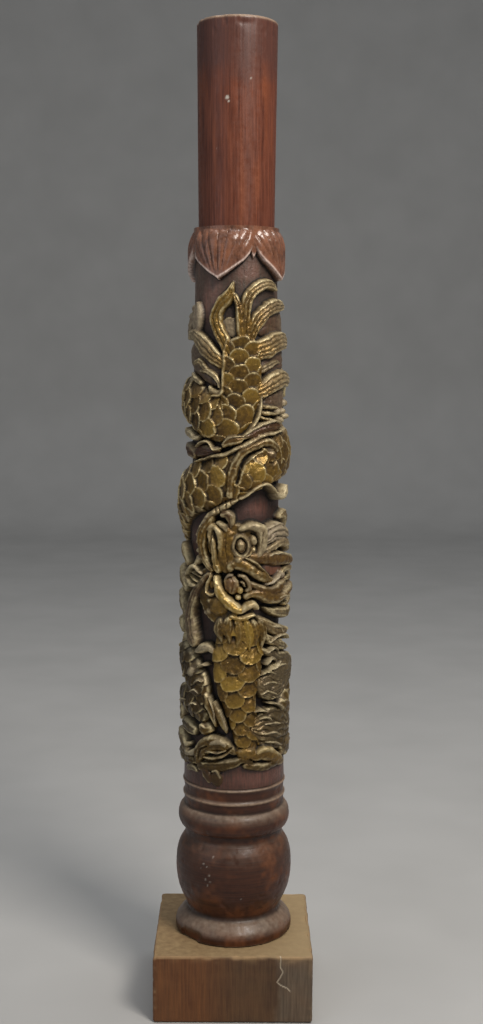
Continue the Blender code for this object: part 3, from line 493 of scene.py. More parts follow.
def carve_head():
    """Head in profile to the right: cheek, mane, eye, brow, snout, open jaws, tongue and whisker."""
    strip(((-34, 296), (-30, 284), (-20, 272), (0, 266), (22, 268)), (12, 20, 22, 18, 8),
          (0.5, 0.6, 0.62, 0.6, 0.5), base=0.7, tone=-0.5)
    strip(((-32, 312), (-12, 311), (10, 309), (32, 305), (54, 300)), (20, 30, 28, 20, 10),
          (0.6, 0.68, 0.68, 0.64, 0.5), base=0.75, tone=-0.2)
    strip(((16, 286), (38, 286), (64, 288), (96, 290)), (12, 22, 20, 12), (0.3, 0.42, 0.5, 0.4), base=0.7,
          gilt=0.35, tone=-0.5)
    # Mane: jagged outer lobes, a ribbed outer strand, and cream strands beside the cheek
    for degrees, level, turn in ((-43, 317, 30), (-44, 312, 10), (-44.5, 306.5, 0), (-43, 301.5, -20)):
        dome(degrees, level, 5.5, 4.2, 0.78, turn, dust=0.7)
    strip(((-22, 294), (-31, 299), (-37, 306), (-37.5, 315), (-32, 323), (-23, 329)),
          (4, 5.5, 7, 7.5, 6, 2.5), (0.78, 0.86, 0.94, 0.96, 0.94, 0.85), 3, 1.2, base=0.4)
    dome(-9, 308, 14, 30, 0.86, base=0.55, bend=2.8)
    strip(((-17, 293), (-21, 301), (-23, 310), (-27, 317.5), (-24, 324)), (4, 5.5, 5.5, 5, 2.5),
          (0.85, 0.95, 1.0, 1.0, 0.9), 2, 0.9, base=0.45, dust=(0.0, 0.1, 0.3, 0.6, 0.5), tone=0.3)
    strip(((-30, 321), (-24, 323.5), (-18, 320.5), (-15, 313), (-14.5, 304)), (3, 4, 4.5, 4, 3),
          (0.92, 1.02, 1.04, 0.98, 0.85), base=0.45, dust=(0.6, 0.6, 0.3, 0.1), tone=0.4)
    cut(((-24, 321), (-26, 314), (-25, 305), (-23, 298)), (1.2, 2.0, 2.0, 1.2), 2.2, 0.8)
    cut(((-10, 318), (-9.5, 308), (-8, 299)), (0.8, 1.4, 0.8), 1.0)
    cut(((-18, 313), (-18.5, 305), (-18, 298)), (1.0, 1.6, 1.0), 1.6)
    strip(((-37, 324), (-30, 328.5), (-22, 331)), (2.4, 3.6, 1.8), (0.82, 0.9, 0.82), dust=0.6)
    strip(((-20, 326), (-14, 324), (-9, 319.5)), (2.6, 4.4, 3), (0.85, 0.97, 0.85), 2, 0.6, dust=0.5)
    strip(((-16, 330), (-9, 331.5), (-4, 328), (-4.5, 322)), (3.5, 6, 6, 3.5), (0.78, 0.86, 0.86, 0.72), 3,
          0.9, gilt=0.6, tone=-0.7)
    # Snout, the ruffled hair behind the brow, and the red recess of the nose
    strip(((30, 312), (38, 316), (48, 318.5), (60, 317.5), (76, 314)), (8, 13, 14, 11, 5),
          (0.78, 0.92, 1.02, 1.04, 0.85), 4, 2.4, base=0.35, gilt=0.5, dust=0.85, wander=0.12, ends=(1, 2))
    strip(((32, 305.5), (44, 308.5), (58, 311), (80, 309)), (4, 6, 6.5, 4), (0.8, 0.94, 1.0, 0.9), 2, 0.9,
          dust=0.6)
    strip(((14, 303.5), (28, 302.5), (42, 301.5), (56, 300.5), (72, 299), (90, 296.5)),
          (8, 8.5, 8.5, 8.5, 8, 5), (0.88, 0.98, 1.05, 1.12, 1.15, 1.0), base=0.45, gilt=0.75, tone=-0.2)
    strip(((36, 304), (48, 304.8), (62, 303.6), (78, 301.5)), (1.4, 2.2, 2.2, 1.4), (0.97, 1.1, 1.15, 1.05),
          base=0.3, dust=0.8)
    strip(((26, 296.5), (38, 294.5), (50, 293.5), (64, 293)), (5, 8, 8, 5), (0.6, 0.7, 0.74, 0.65), base=0.7,
          gilt=0.1, tone=0.6)
    strip(((56, 291.5), (70, 293.5), (90, 291)), (3, 5.5, 4), (0.9, 1.05, 0.95), 2, 0.7, dust=0.5)
    # Eye in its pale socket, and the brow over it
    dome(6.4, 310.8, 13.5, 16, 0.88, base=0.75, gilt=0.9, dust=0.6)
    ring = [(6.4 + 8.2 * math.cos(t), 310.8 + 6.2 * math.sin(t)) for t in np.linspace(0.7, 6.9, 16)]
    strip(ring, (1.6, 2.1, 2.1, 1.6), (1.0, 1.05, 1.05, 1.0), base=0.4, dust=0.55)
    cut([(6.4 + 6.2 * math.cos(t), 310.8 + 4.8 * math.sin(t)) for t in np.linspace(0, 6.3, 16)],
        (1.0, 1.0), 2.6, 0.7)
    dome(6.4, 310.9, 6.8, 9.0, 1.08, base=0.5, gilt=0.7, tone=-0.4)
    strip(((-3, 307.5), (1, 304.6), (8, 303.4), (15, 305.4), (19, 309)), (1.4, 2.2, 2.6, 2.2, 1.4),
          (0.92, 1.0, 1.02, 1.0, 0.92), base=0.4, dust=0.4)
    strip(((4, 321), (12, 322.3), (20, 323.5), (27, 321.5), (30, 315), (28.5, 308), (24, 303.5)),
          (3, 4.5, 6, 7, 7, 6, 4), (0.95, 1.04, 1.1, 1.1, 1.08, 1.04, 0.95), base=0.5, dust=0.75)
    dome(20.5, 314.5, 5.5, 7, 0.98, base=0.6, dust=0.6)
    dome(19.5, 308.5, 4.5, 5, 0.96, base=0.6, dust=0.3)
    cut(((18, 319), (22.5, 317), (23.5, 312), (21, 307)), (0.9, 1.8, 1.8, 0.9), 2.6)
    cut(((28, 320), (27.5, 314), (25.5, 308)), (0.8, 1.3, 0.8), 1.4)
    # Upper lip with its knuckle and white fang
    strip(((-3, 300), (8, 299.2), (18, 296.2), (27, 292.2), (35, 288.6), (43, 286.8)),
          (8.5, 8.8, 8.8, 8.2, 7, 4), (1.02, 1.1, 1.14, 1.14, 1.1, 1.0), base=0.35, slant=0.05)
    dome(3.5, 302, 8, 6.5, 1.14, 15, base=0.45, dust=0.3)
    dome(-5, 298, 7, 8, 1.04, base=0.45, tone=-0.1)
    strip(((8, 303.6), (14, 302.4), (23, 299), (31, 294.8), (37, 291)), (1.2, 1.9, 1.9, 1.7, 1.2),
          (1.04, 1.14, 1.15, 1.13, 1.02), base=0.3, dust=0.4)
    cut(((9, 302), (19, 298.9), (30, 293.9)), (0.9, 1.4, 0.9), 1.3)
    strip(((32, 284.8), (40, 286.2), (47, 289), (53, 293.4)), (1.6, 3, 3.2, 1.4), (1.08, 1.17, 1.17, 1.1),
          base=0.3, dust=1.0, gilt=0.3, ends=(1, 2))
    # Inside of the mouth: inner lip, tongue, scrolls and gilt flecks
    strip(((13, 288), (24, 284), (34, 281.5), (45, 280.8), (55, 283), (64, 287)), (3, 4.5, 5.5, 6.5, 7, 4),
          (0.86, 0.95, 1.0, 1.02, 1.02, 0.92), 2, 0.5, base=0.45, gilt=0.75, tone=-0.4)
    dome(59, 290, 5, 5, 1.0, base=0.5, gilt=0.2, dust=0.8)
    dome(-3.5, 285.6, 9.5, 13.5, 1.0, 18, base=0.5, gilt=0.5, tone=0.1)
    cut(((-4, 291), (-2.6, 286), (-3.4, 280)), (0.8, 1.5, 0.8), 0.9)
    strip(((-9.5, 289.5), (-6, 292.2), (-1, 292.2)), (1.4, 2.2, 1.4), (1.0, 1.06, 1.0), base=0.4, dust=0.9,
          gilt=0.2)
    strip(((3, 291.8), (9, 291.3), (14, 288.2), (15.5, 283.8), (11, 280.5)), (2.2, 3.2, 3.4, 3.2, 1.8),
          (0.85, 0.95, 0.99, 0.96, 0.85), base=0.4, gilt=0.5, tone=-0.5)
    strip(((5, 287.8), (9, 287.2), (11, 284)), (1.6, 2.2, 1.4), (0.9, 1.0, 0.9), base=0.4, gilt=0.6, dust=0.3)
    dome(5.5, 282, 4.4, 5, 1.02, 20, base=0.5, tone=0.8)
    dome(3.5, 277.4, 4, 4, 1.0, base=0.5, tone=0.6)
    # Lower jaw, the gilded roll of the beard and the lobes behind it
    strip(((9, 276.6), (19, 280), (30, 279), (43, 276.3), (56, 276), (72, 279), (92, 282)),
          (3, 6.5, 8, 8, 7.5, 6, 4), (0.85, 0.98, 1.05, 1.08, 1.08, 1.04, 0.95), base=0.35, gilt=0.8,
          tone=-0.1)
    strip(((42, 273.6), (52, 276.2), (62, 276.2), (74, 273.8)), (1.2, 2.2, 2.4, 1.4), (1.0, 1.12, 1.14, 1.0),
          base=0.3, dust=1.0)
    dome(-16.5, 272, 15, 14.5, 0.92, base=0.45, tone=0.1)
    dome(-29, 268, 7, 7, 0.7, 20, dust=0.4, tone=-0.3)
    dome(-27, 275, 8, 6, 0.8, 20, tone=-0.3)
    strip(((-30, 280), (-29.5, 286), (-24.5, 291.5)), (1.4, 2.3, 1.4), (0.9, 1.0, 0.95), dust=0.3, tone=0.3)
    strip(((-31, 280.5), (-25, 279), (-19, 281.5)), (1.4, 2.3, 1.4), (0.9, 1.0, 0.95), dust=0.3, tone=0.3)
    dome(-24.5, 285.5, 5, 6.5, 0.86, base=0.4, tone=0.1)
    strip(((-20, 292), (-19, 286.3), (-14.5, 280.6), (-8, 275.3), (0, 271), (9, 268.3)),
          (3.5, 5.5, 6.5, 7, 7.5, 6), (0.9, 1.05, 1.1, 1.1, 1.1, 1.0), 3, 0.55, base=0.35, tone=0.65,
          slant=0.05, wander=0.2)
    strip(((6, 268.3), (12, 271.8), (19, 272.8), (25, 269.8)), (4, 5.5, 5.5, 3), (1.0, 1.1, 1.1, 0.95),
          base=0.4, dust=0.7, tone=0.6)
    strip(((-4, 265.3), (5, 263.8), (15, 265.8), (22, 266.5)), (2.6, 4.2, 4, 2.4), (0.9, 0.98, 0.98, 0.9),
          base=0.4, tone=0.4)
    # Ear leaf with its ribs
    strip(((-38, 302), (-44, 299.8), (-50, 296.5)), (2.5, 4, 2), (0.7, 0.8, 0.7), dust=0.6)
    strip(((-37, 291.5), (-45, 294.8), (-52, 296), (-60, 292.5), (-66, 288)), (2, 3, 3.2, 3, 2),
          (0.75, 0.88, 0.9, 0.9, 0.8), base=0.35, dust=0.85)
    strip(((-40, 284.3), (-48, 283.2), (-57, 284.5), (-66, 288)), (2, 3.6, 4, 2.4), (0.75, 0.88, 0.9, 0.8),
          base=0.35, dust=0.6)
    strip(((-59, 289.6), (-50, 287.6), (-41, 286)), (1.2, 1.9, 1.2), (0.68, 0.78, 0.7), dust=0.5)
    strip(((-56, 292.4), (-47, 291.2), (-39, 289.4)), (1.2, 1.9, 1.2), (0.68, 0.78, 0.7), dust=0.5)
    # Whisker down to the paw
    strip(((-24, 293), (-32, 290), (-39, 285), (-46, 279), (-53, 271), (-57, 262), (-53, 252), (-47, 243)),
          (3, 4.5, 5.5, 7, 8.5, 9.5, 10, 7), (0.85, 0.92, 0.92, 0.9, 0.88, 0.9, 0.9, 0.8), 4, 1.1, gilt=0.65,
          tone=(-0.3, -0.8, -0.5, 0.0, 0.1), dust=(0, 0, 0.1, 0.3, 0.3))
    strip(((-46, 239.5), (-37, 242.5), (-29, 243.8), (-22, 241)), (4, 6.5, 6.5, 3), (0.68, 0.82, 0.82, 0.65),
          3, 0.6, dust=0.85, gilt=0.9, wander=0.3)
    dome(-33, 267, 6, 4.6, 0.62, 20, dust=0.7, gilt=0.5)


def carve_chest():
    """Chest and belly with their scales, mane locks over them, foreleg, shoulder and belly ribs."""
    scaled_body(((-88, 240), (-64, 231), (-48, 220), (-33, 206)), (16, 22, 21, 10), (0.78, 0.9, 0.92, 0.8),
                8.5, 9.0, 1.0, 0.0, 1.1, 21, base=0.35, rim=0.3, tone=-0.75)
    scaled_body(((-92, 208), (-68, 207), (-48, 203), (-31, 195)), (14, 19, 18, 9), (0.75, 0.86, 0.87, 0.75),
                8.5, 9.0, 1.0, 3.0, 1.1, 22, base=0.35, rim=0.3, tone=-0.85)
    strip(((-80, 190), (-62, 188), (-46, 186)), (8, 10, 6), (0.7, 0.8, 0.7), 3, 0.9, tone=-0.7, dust=0.2)
    dome(-50, 226.5, 7.5, 9, 1.03, -20, base=0.5, dust=0.75, gilt=0.9)
    for points in (
        ((-53, 213), (-45, 215.2), (-39, 213.5)), ((-45, 220), (-39, 221.8), (-34, 221)),
        ((-53, 203.4), (-47, 205.5), (-43, 204.8)), ((-75, 204), (-67, 206.3), (-60, 206.3)),
        ((-66, 221), (-61, 224), (-60, 228)), ((-40, 230), (-34, 233), (-29, 232)),
    ):
        strip(points, (0.9, 1.7, 0.9), (0.96, 1.02, 0.94), base=0.3, dust=1.0)
    # Right of the chest: a smooth dusty shoulder, and a belly cut with wavy lines
    strip(((24, 221), (44, 219), (66, 225), (92, 230)), (14, 24, 24, 14), (0.82, 0.93, 1.0, 0.9), 9, 1.2,
          base=0.5, dust=0.25, tone=-0.45, wander=0.3)
    strip(((18, 191), (42, 190), (66, 188), (94, 190)), (22, 28, 27, 18), (0.78, 0.92, 1.0, 0.9), 7, 2.0,
          base=0.55, dust=0.15, tone=-0.5, wander=0.14)
    for points in (((20, 202.6), (28, 203.6), (37, 201)), ((27, 197.2), (35, 197.6), (44, 195)),
                   ((33, 192.8), (45, 193.2), (62, 190.6)), ((30, 187.4), (42, 187.2), (58, 183.6)),
                   ((38, 207), (50, 205), (60, 200.5)), ((34, 181.4), (46, 180), (62, 176))):
        strip(points, (1.0, 2.0, 1.0), (0.96, 1.08, 0.98), base=0.35, dust=0.8)
    for points in (((26, 226), (36, 228), (47, 226)), ((30, 219.5), (42, 221), (55, 218)),
                   ((44, 229), (54, 231), (66, 229.5)), ((28, 213.5), (37, 215), (48, 212.5))):
        strip(points, (0.9, 1.7, 0.9), (0.94, 1.03, 0.96), base=0.35, dust=0.7)
    for points in (((34, 213), (42, 217), (46, 223)), ((48, 212), (56, 214), (64, 219)),
                   ((38, 224), (50, 221), (60, 223)), ((36, 208), (46, 210), (52, 214))):
        cut(points, (0.7, 1.3, 0.7), 1.0)
    for route, widths, rises, tone in (
        (((24, 264), (36, 259.5), (52, 254), (76, 252)), (4, 8, 8, 5), (0.75, 0.86, 0.9, 0.8), -0.3),
        (((32, 253), (44, 248), (58, 243.5), (76, 241)), (3, 6.5, 7, 4), (0.72, 0.82, 0.86, 0.75), -0.6),
        (((30, 243.5), (42, 239.5), (58, 236), (80, 236)), (3, 6, 7, 5), (0.7, 0.8, 0.86, 0.8), -0.5),
        (((34, 270), (50, 266), (72, 264), (94, 266)), (3, 6, 7, 5), (0.6, 0.72, 0.85, 0.8), -0.6),
    ):
        strip(route, widths, rises, 3, 1.0, base=0.4, dust=0.25, ends=(2, 2), tone=tone)
    for points in (((38, 246.4), (48, 250.4), (62, 250.4), (74, 246)), ((34, 232), (41, 236.6), (49, 234)),
                   ((38, 228.6), (46, 230.4), (55, 233.4)), ((36, 240.6), (44, 243), (52, 240)),
                   ((40, 258), (52, 256.4), (60, 252))):
        strip(points, (1.0, 2.1, 1.9, 1.0), (0.92, 1.0, 1.0, 0.9), base=0.3, dust=1.0)
    scaled_body(NECK_ROUTE, NECK_WIDTHS, NECK_RISES, 12.6, 10.4, 5.8, -3.0, 2.5, 31, base=0.3, rim=0.12,
                tone=0.15)
    # Leaf-like locks of mane over the top of the chest
    for route, widths, tone in (
        (((-15, 264), (-16, 257), (-12, 249)), (4, 7.5, 2), -0.7),
        (((27, 263), (30, 255), (28, 245)), (4, 7, 2), -0.4),
        (((-6, 265), (-7.5, 257), (-4, 248.5)), (5, 8, 2), -0.3),
        (((19, 263), (22, 255), (21, 247)), (4, 7, 2), 0.0),
        (((3, 264), (5, 256), (3, 245.5)), (5, 9, 2.5), 0.2),
        (((11, 264), (14.5, 255), (14, 243)), (4, 8.5, 2.5), 0.6),
    ):
        strip(route, widths, (0.92, 1.03, 0.98), 3, 1.0, base=0.45, tone=tone, ends=(1, 3))
    # Talons of the foreleg
    for route, edge in (
        (((-32, 214), (-28, 206), (-22, 198), (-19, 192)), ((-27, 212), (-23, 205), (-19.5, 196))),
        (((-22, 209), (-17, 201), (-11, 193), (-7, 187.5)), ((-15, 204), (-11, 197), (-7, 190))),
    ):
        strip(route, (3.5, 5, 4.6, 1.6), (0.86, 0.93, 0.92, 0.8), base=0.35, ends=(1, 2.5), tone=-0.3)
        strip(edge, (0.9, 1.5, 0.9), (0.9, 0.99, 0.9), base=0.35, dust=0.9)
    dome(-33, 190, 12, 9, 0.86, 10, base=0.45, tone=-0.3)
    strip(((-39, 190.5), (-36, 192.5), (-31, 191)), (1.2, 2.2, 1.2), (0.9, 0.97, 0.9), dust=0.6)


def carve_clouds():
    """Clouds round the foot of the shaft, with rolled edges, folds and knobs."""
    strip(((-44, 163), (-30, 166), (-14, 166.5), (0, 168.5), (10, 170), (20, 168)), (5, 8, 9, 7, 5, 3),
          (0.9, 1.05, 1.1, 1.1, 1.0, 0.8), 2, 0.8, base=0.45, tone=-0.5)
    strip(((-46, 165), (-39, 173.5), (-28, 180), (-15, 181), (-4, 177.5), (3, 174)), (5, 9, 12, 11, 7, 3),
          (0.9, 1.08, 1.16, 1.16, 1.05, 0.85), 3, 1.1, base=0.4, tone=-0.3)
    strip(((-25, 180.5), (-16, 182.8), (-8, 180)), (2.6, 5, 2.6), (1.18, 1.28, 1.18), base=0.4, dust=0.85)
    strip(((-33, 171.3), (-20, 171.6), (-9, 174.3), (-2, 177.3)), (1.2, 2.2, 2.2, 1.2),
          (1.12, 1.23, 1.23, 1.1), base=0.35, tone=0.5, dust=0.5)
    strip(((-30, 176.2), (-19, 175.4), (-8, 177.6)), (1.0, 1.8, 1.0), (1.16, 1.25, 1.16), base=0.35, dust=0.6)
    cut(((-31, 173.8), (-20, 173.5), (-9, 176), (-1, 179)), (1.0, 1.8, 1.8, 1.0), 2.4, 0.7)
    cut(((-36, 168.6), (-20, 169), (-6, 171), (8, 172.6)), (1.2, 1.9, 1.9, 1.2), 2.2, 0.7)
    cut(((-41, 170), (-36, 176), (-28, 179.5)), (1.0, 1.7, 1.0), 1.8, 0.8)
    strip(((10, 166.5), (24, 165.3), (36, 164.3), (48, 165), (64, 166)), (3, 5, 5, 5, 3),
          (0.9, 1.05, 1.1, 1.1, 0.95), base=0.4, tone=-0.4)
    strip(((18, 171), (30, 173.5), (42, 172), (54, 167.8), (68, 162.5)), (5, 9.5, 10, 8, 4),
          (1.0, 1.22, 1.3, 1.25, 1.0), 2, 0.5, base=0.35, tone=0.3)
    dome(14, 174.5, 13, 8.5, 1.12, base=0.4, tone=0.4)
    strip(((23, 174.5), (32, 177), (42, 175.8), (51, 172)), (2.2, 4.6, 4.6, 2.2), (1.2, 1.42, 1.4, 1.2),
          base=0.3, dust=0.45, tone=0.9)
    strip(((46, 180), (58, 178), (74, 172), (92, 170)), (4, 8, 9, 6), (0.9, 1.02, 1.1, 1.0), 3, 0.8,
          tone=-0.5)
    strip(((-35, 164), (-31, 160), (-27, 154.5)), (4, 7.5, 5), (1.15, 1.4, 1.2), 2, 0.6, base=0.45, tone=-0.8,
          gilt=0.7)
    dome(-19.5, 157.5, 8.5, 10, 1.32, 10, base=0.45, tone=-0.6, gilt=0.8)
    strip(((-24, 162.5), (-18, 163), (-14.5, 158)), (1.2, 2.0, 1.2), (1.3, 1.46, 1.3), base=0.35, dust=0.5)
    strip(((-70, 173), (-60, 171), (-50, 172), (-42, 175.5)), (2.2, 3.6, 3.8, 2.2),
          (0.95, 1.08, 1.08, 0.95), 2, 0.5, dust=0.9)
    strip(((-72, 178.5), (-63, 176), (-54, 178)), (2.2, 3.8, 2.2), (0.95, 1.06, 0.95), dust=0.7, tone=-0.3)
    strip(((-66, 166), (-56, 167.5), (-46, 166)), (4, 7, 4), (0.95, 1.08, 0.95), 2, 0.8, tone=-0.7)
    strip(((-64, 159.5), (-54, 162), (-44, 160)), (3.4, 5.4, 3.4), (1.05, 1.18, 1.05), 2, 0.6, dust=0.3,
          tone=-0.5)
    strip(((-86, 162), (-76, 169), (-66, 163)), (5, 9, 4), (1.0, 1.15, 0.9), 2, 0.8, tone=-0.4, dust=0.2)


# Hidden side, in keeping and plainer: flames, hind leg and talons, clouds
FLAME_RISES = (0.8, 0.9, 0.9, 0.7)
CLOUD_RISES = (1.0, 1.1, 1.1, 0.9)
CLOUD_WIDTHS = (7, 12, 12, 5)
TALON_RISES = (0.85, 0.85, 0.7)
TALON_WIDTHS = (6, 6, 2)
BACK_FORMS = (
    (((100, 404), (112, 417), (132, 426), (154, 428)), (9, 12, 11, 4), FLAME_RISES, 3),
    (((150, 412), (166, 426), (186, 436), (206, 438)), (9, 12, 11, 4), FLAME_RISES, 3),
    (((208, 424), (222, 438), (244, 446), (262, 446)), (9, 12, 10, 4), FLAME_RISES, 3),
    (((110, 434), (128, 450), (152, 458), (176, 458)), (8, 10, 9, 4), FLAME_RISES, 3),
    (((236, 352), (214, 344), (190, 348), (168, 340), (150, 326)), (7, 16, 14, 12, 7),
     (0.85, 0.95, 0.95, 0.9, 0.8), 2),
    (((152, 328), (138, 318), (128, 306)), TALON_WIDTHS, TALON_RISES, 1),
    (((148, 334), (130, 330), (112, 320)), TALON_WIDTHS, TALON_RISES, 1),
    (((156, 324), (150, 310), (148, 300)), TALON_WIDTHS, TALON_RISES, 1),
    (((128, 300), (110, 306), (90, 306), (72, 310)), (9, 10, 7, 3), (0.75, 0.85, 0.85, 0.7), 2),
    (((132, 286), (112, 290), (92, 286), (74, 286)), (9, 10, 8, 3), (0.75, 0.88, 0.9, 0.7), 2),
    (((128, 268), (108, 274), (90, 272), (70, 269)), (9, 10, 7, 3), (0.75, 0.85, 0.85, 0.7), 2),
    (((110, 316), (94, 324), (76, 329), (60, 327)), (8, 9, 7, 3), (0.5, 0.6, 0.6, 0.5), 3),
    (((-104, 302), (-90, 306), (-76, 302), (-62, 296)), (6, 7, 6, 3), (0.7, 0.8, 0.8, 0.7), 2),
    (((-108, 292), (-92, 290), (-76, 284), (-64, 278)), (6, 8, 7, 3), (0.75, 0.88, 0.85, 0.7), 2),
    (((-106, 276), (-90, 274), (-76, 268), (-66, 260)), (6, 8, 7, 3), (0.75, 0.88, 0.85, 0.7), 2),
    (((-100, 258), (-84, 256), (-72, 250)), (6, 9, 4), (0.7, 0.85, 0.75), 2),
    (((-118, 286), (-128, 268), (-120, 250), (-100, 240)), (10, 13, 11, 4), FLAME_RISES, 3),
    (((-152, 262), (-156, 244), (-146, 228), (-124, 220)), (10, 13, 11, 4), FLAME_RISES, 3),
    (((-60, 168), (-74, 177), (-92, 179), (-112, 173)), (7, 11, 11, 5), CLOUD_RISES, 3),
    (((-108, 170), (-124, 180), (-144, 181), (-162, 173)), CLOUD_WIDTHS, CLOUD_RISES, 3),
    (((-156, 170), (-174, 180), (-194, 181), (-212, 173)), CLOUD_WIDTHS, CLOUD_RISES, 3),
    (((154, 170), (136, 178), (118, 178), (98, 172)), CLOUD_WIDTHS, CLOUD_RISES, 3),
    (((102, 169), (88, 176), (74, 176), (60, 170)), (7, 10, 10, 5), CLOUD_RISES, 3),
    (((-82, 190), (-100, 200), (-122, 204), (-142, 196)), (8, 12, 12, 5), FLAME_RISES, 3),
    (((-136, 198), (-156, 210), (-178, 212), (-200, 200)), (8, 13, 12, 5), FLAME_RISES, 3),
)


def carve_back():
    """Forms of the hidden side, with up to three ridges each."""
    for route, widths, rises, ridges in BACK_FORMS:
        strip(route, widths, rises, ridges, 1.1, base=0.4, dust=0.3)


def petal_height(degrees, level):
    """Height of the collar over the shaft.

    The edge's drop is read from the petal's shares. The face swells from the tenon to the lip, is
    domed across as (1 - |share|^3.4)^0.5, and is fluted by |sin| ridges that meet at the tip.
    """
    share = angle_from(degrees, PETAL_TURN, 2 * PETAL_SPREAD) / PETAL_SPREAD
    drop = np.interp(np.abs(share), PETAL_SHARES, PETAL_DROPS)
    down = SHAFT_TOP - level
    ragged = down + 0.7 * cloudy(degrees * CHART_DEGREE, level, 3.0, 81, ROUND)
    across = 0.3 + 0.7 * np.sqrt(np.maximum(1.0 - np.abs(share) ** 3.4, 0.0))
    face = np.interp(ragged, FACE_DROPS, FACE_SWELLS)
    fan = share / np.clip((COLLAR_LENGTH + 6.0 - down) / 30.0, 0.25, 1.25)
    fan = fan + 0.03 * cloudy(degrees * CHART_DEGREE, level * 0.3, 4.0, 82, ROUND)
    flutes = np.abs(np.sin((fan + 0.04) * np.pi * 3.9)) ** 0.45
    deep = 0.75 + 0.5 * cloudy(degrees * CHART_DEGREE, level * 0.2, 6.0, 83, ROUND)
    out = drop - down
    flute = 1.9 * deep * (flutes - 0.8) * smooth(0.5, 4.0, down) * smooth(1.5, 10.0, out)
    height = COLLAR_PROJECTION * across * face + flute + 0.1 * smooth(3.0, 1.0, out)
    return np.where(out > 0.0, height, height + 9.0 * out)


def under_petal(degrees, level):
    """Tip of the lower petal that shows in the notch between two petals of the collar."""
    turn = (degrees - PETAL_TURN) % (2 * PETAL_SPREAD) - PETAL_SPREAD
    share = np.clip(np.abs(turn) / 8.0, 0.0, 1.0)
    drop = 15.0 * (1.0 - share) ** 0.5 + 5.0
    return 2.2 * (1.0 - 0.3 * share**2) + 3.0 * np.minimum(drop - (SHAFT_TOP - level), 0.0)


def carve_collar():
    """Lotus collar on the grid: the lower petals, then the upper ones over them."""
    collar = np.maximum(under_petal(GRID_TURN, GRID_Y), petal_height(GRID_TURN, GRID_Y))
    PETAL[:] = (collar > np.maximum(HEIGHT, 0.0)) * 1.0
    HEIGHT[:] = np.maximum(HEIGHT, collar)


def bare_patches():
    """Tone and dust of the bare shaft: redder and lighter in patches, dusty below the collar."""
    for degrees, level, wide, tall, amount in (
        (20, 329, 46, 18, 0.9), (34, 157, 90, 11, 0.45), (-34, 464, 44, 34, 0.7), (16, 485, 40, 16, 0.8),
        (-30, 256, 26, 24, -0.3), (150, 470, 90, 40, 0.4), (200, 320, 60, 40, 0.3),
    ):
        q = np.hypot(angle_from(GRID_TURN, degrees) / wide * 2, (GRID_Y - level) / tall * 2)
        TONE[:] += amount * smooth(1.25, 0.4, q)
    DUST[:] = 0.08 + 0.17 * smooth(430.0, 470.0, GRID_Y)


def darkened_patches():
    """How far the gilding's tone is taken down: the greatest of three patches, near the foot, on
    the lower left and on the right shoulder, each fading in along an S-curve. Those near the foot
    and on the lower left are painted shade; the one on the right shoulder is only darker."""
    foot = 0.4 * smooth(205.0, 165.0, GRID_Y)
    left = 0.6 * smooth(-28.0, -48.0, GRID_TURN) * smooth(310.0, 260.0, GRID_Y)
    shoulder = smooth(24.0, 34.0, GRID_TURN) * smooth(100.0, 90.0, GRID_TURN)
    shoulder = 0.4 * shoulder * smooth(248.0, 236.0, GRID_Y)
    return np.maximum(np.maximum(foot, left), shoulder)


def finish_surface():
    """Chisel waver over everything, then what the colour reads: hollows for painted shade, bright
    edges for wear with painted highlight, and ledges for dust.

    A hollow lies below the mean height round it, read within 1.1, 3.2 and 7 mm, and an edge stands
    above the first of these. A ledge is where the surface falls away upward, so that it faces up.
    The edges' painted highlight is weaker on the chest.
    """
    chest = smooth(-24.0, -18.0, GRID_TURN) * smooth(30.0, 24.0, GRID_TURN) * smooth(262.0, 254.0, GRID_Y)
    # Painted shade near the foot and on the lower left, and a darker right shoulder, taken off the gilding's
    # tone
    TONE[:] -= darkened_patches() * smooth(0.3, 0.7, GILT)
    HEIGHT[:] = soften(HEIGHT, 0.45, 0.45)
    large = np.abs(cloudy(GRID_X, GRID_Y, 4.4, 1, ROUND))
    small = np.abs(cloudy(GRID_X, GRID_Y, 2.1, 2, ROUND))
    waver = 0.42 * (0.4 - large - 0.6 * small) + 0.12 * cloudy(GRID_X, GRID_Y, 1.3, 3, ROUND)
    carved = np.clip(GILT + 0.35, 0.0, 1.0) * (1.0 - 0.7 * PETAL)
    HEIGHT[:] += waver * carved * smooth(0.0, 20.0, LEVELS - RINGS_TOP)[:, None]
    row, column = 1.0 / (LEVELS[1] - LEVELS[0]), 1.0 / (FRONT_STEP * CHART_DEGREE)
    narrow, wide, broad = (soften(HEIGHT, reach * row, reach * column) for reach in (1.1, 3.2, 7.0))
    # Hollows, bare ground beside the forms and the scales' roots become painted shade in the colour
    hollow = smooth(0.02, 1.1, narrow - HEIGHT) * 0.8 + smooth(0.4, 4.0, wide - HEIGHT) * 0.8
    hollow = np.maximum(hollow, 0.72 * smooth(0.3, 3.2, broad - HEIGHT) * smooth(3.0, 0.5, HEIGHT))
    hollow = np.maximum(hollow, 0.8 * ROOT_SHADE)
    # Edges become wear with painted highlight in the colour, weaker on the chest
    edge = smooth(0.12, 0.75, HEIGHT - narrow) * (1.0 - 0.6 * chest)
    fall = -np.gradient(soften(HEIGHT, 0.7 * row, 0.7 * column), LEVELS, axis=0)
    return np.clip(hollow, 0.0, 1.0), edge, smooth(0.1, 1.3, fall)


# Meshes

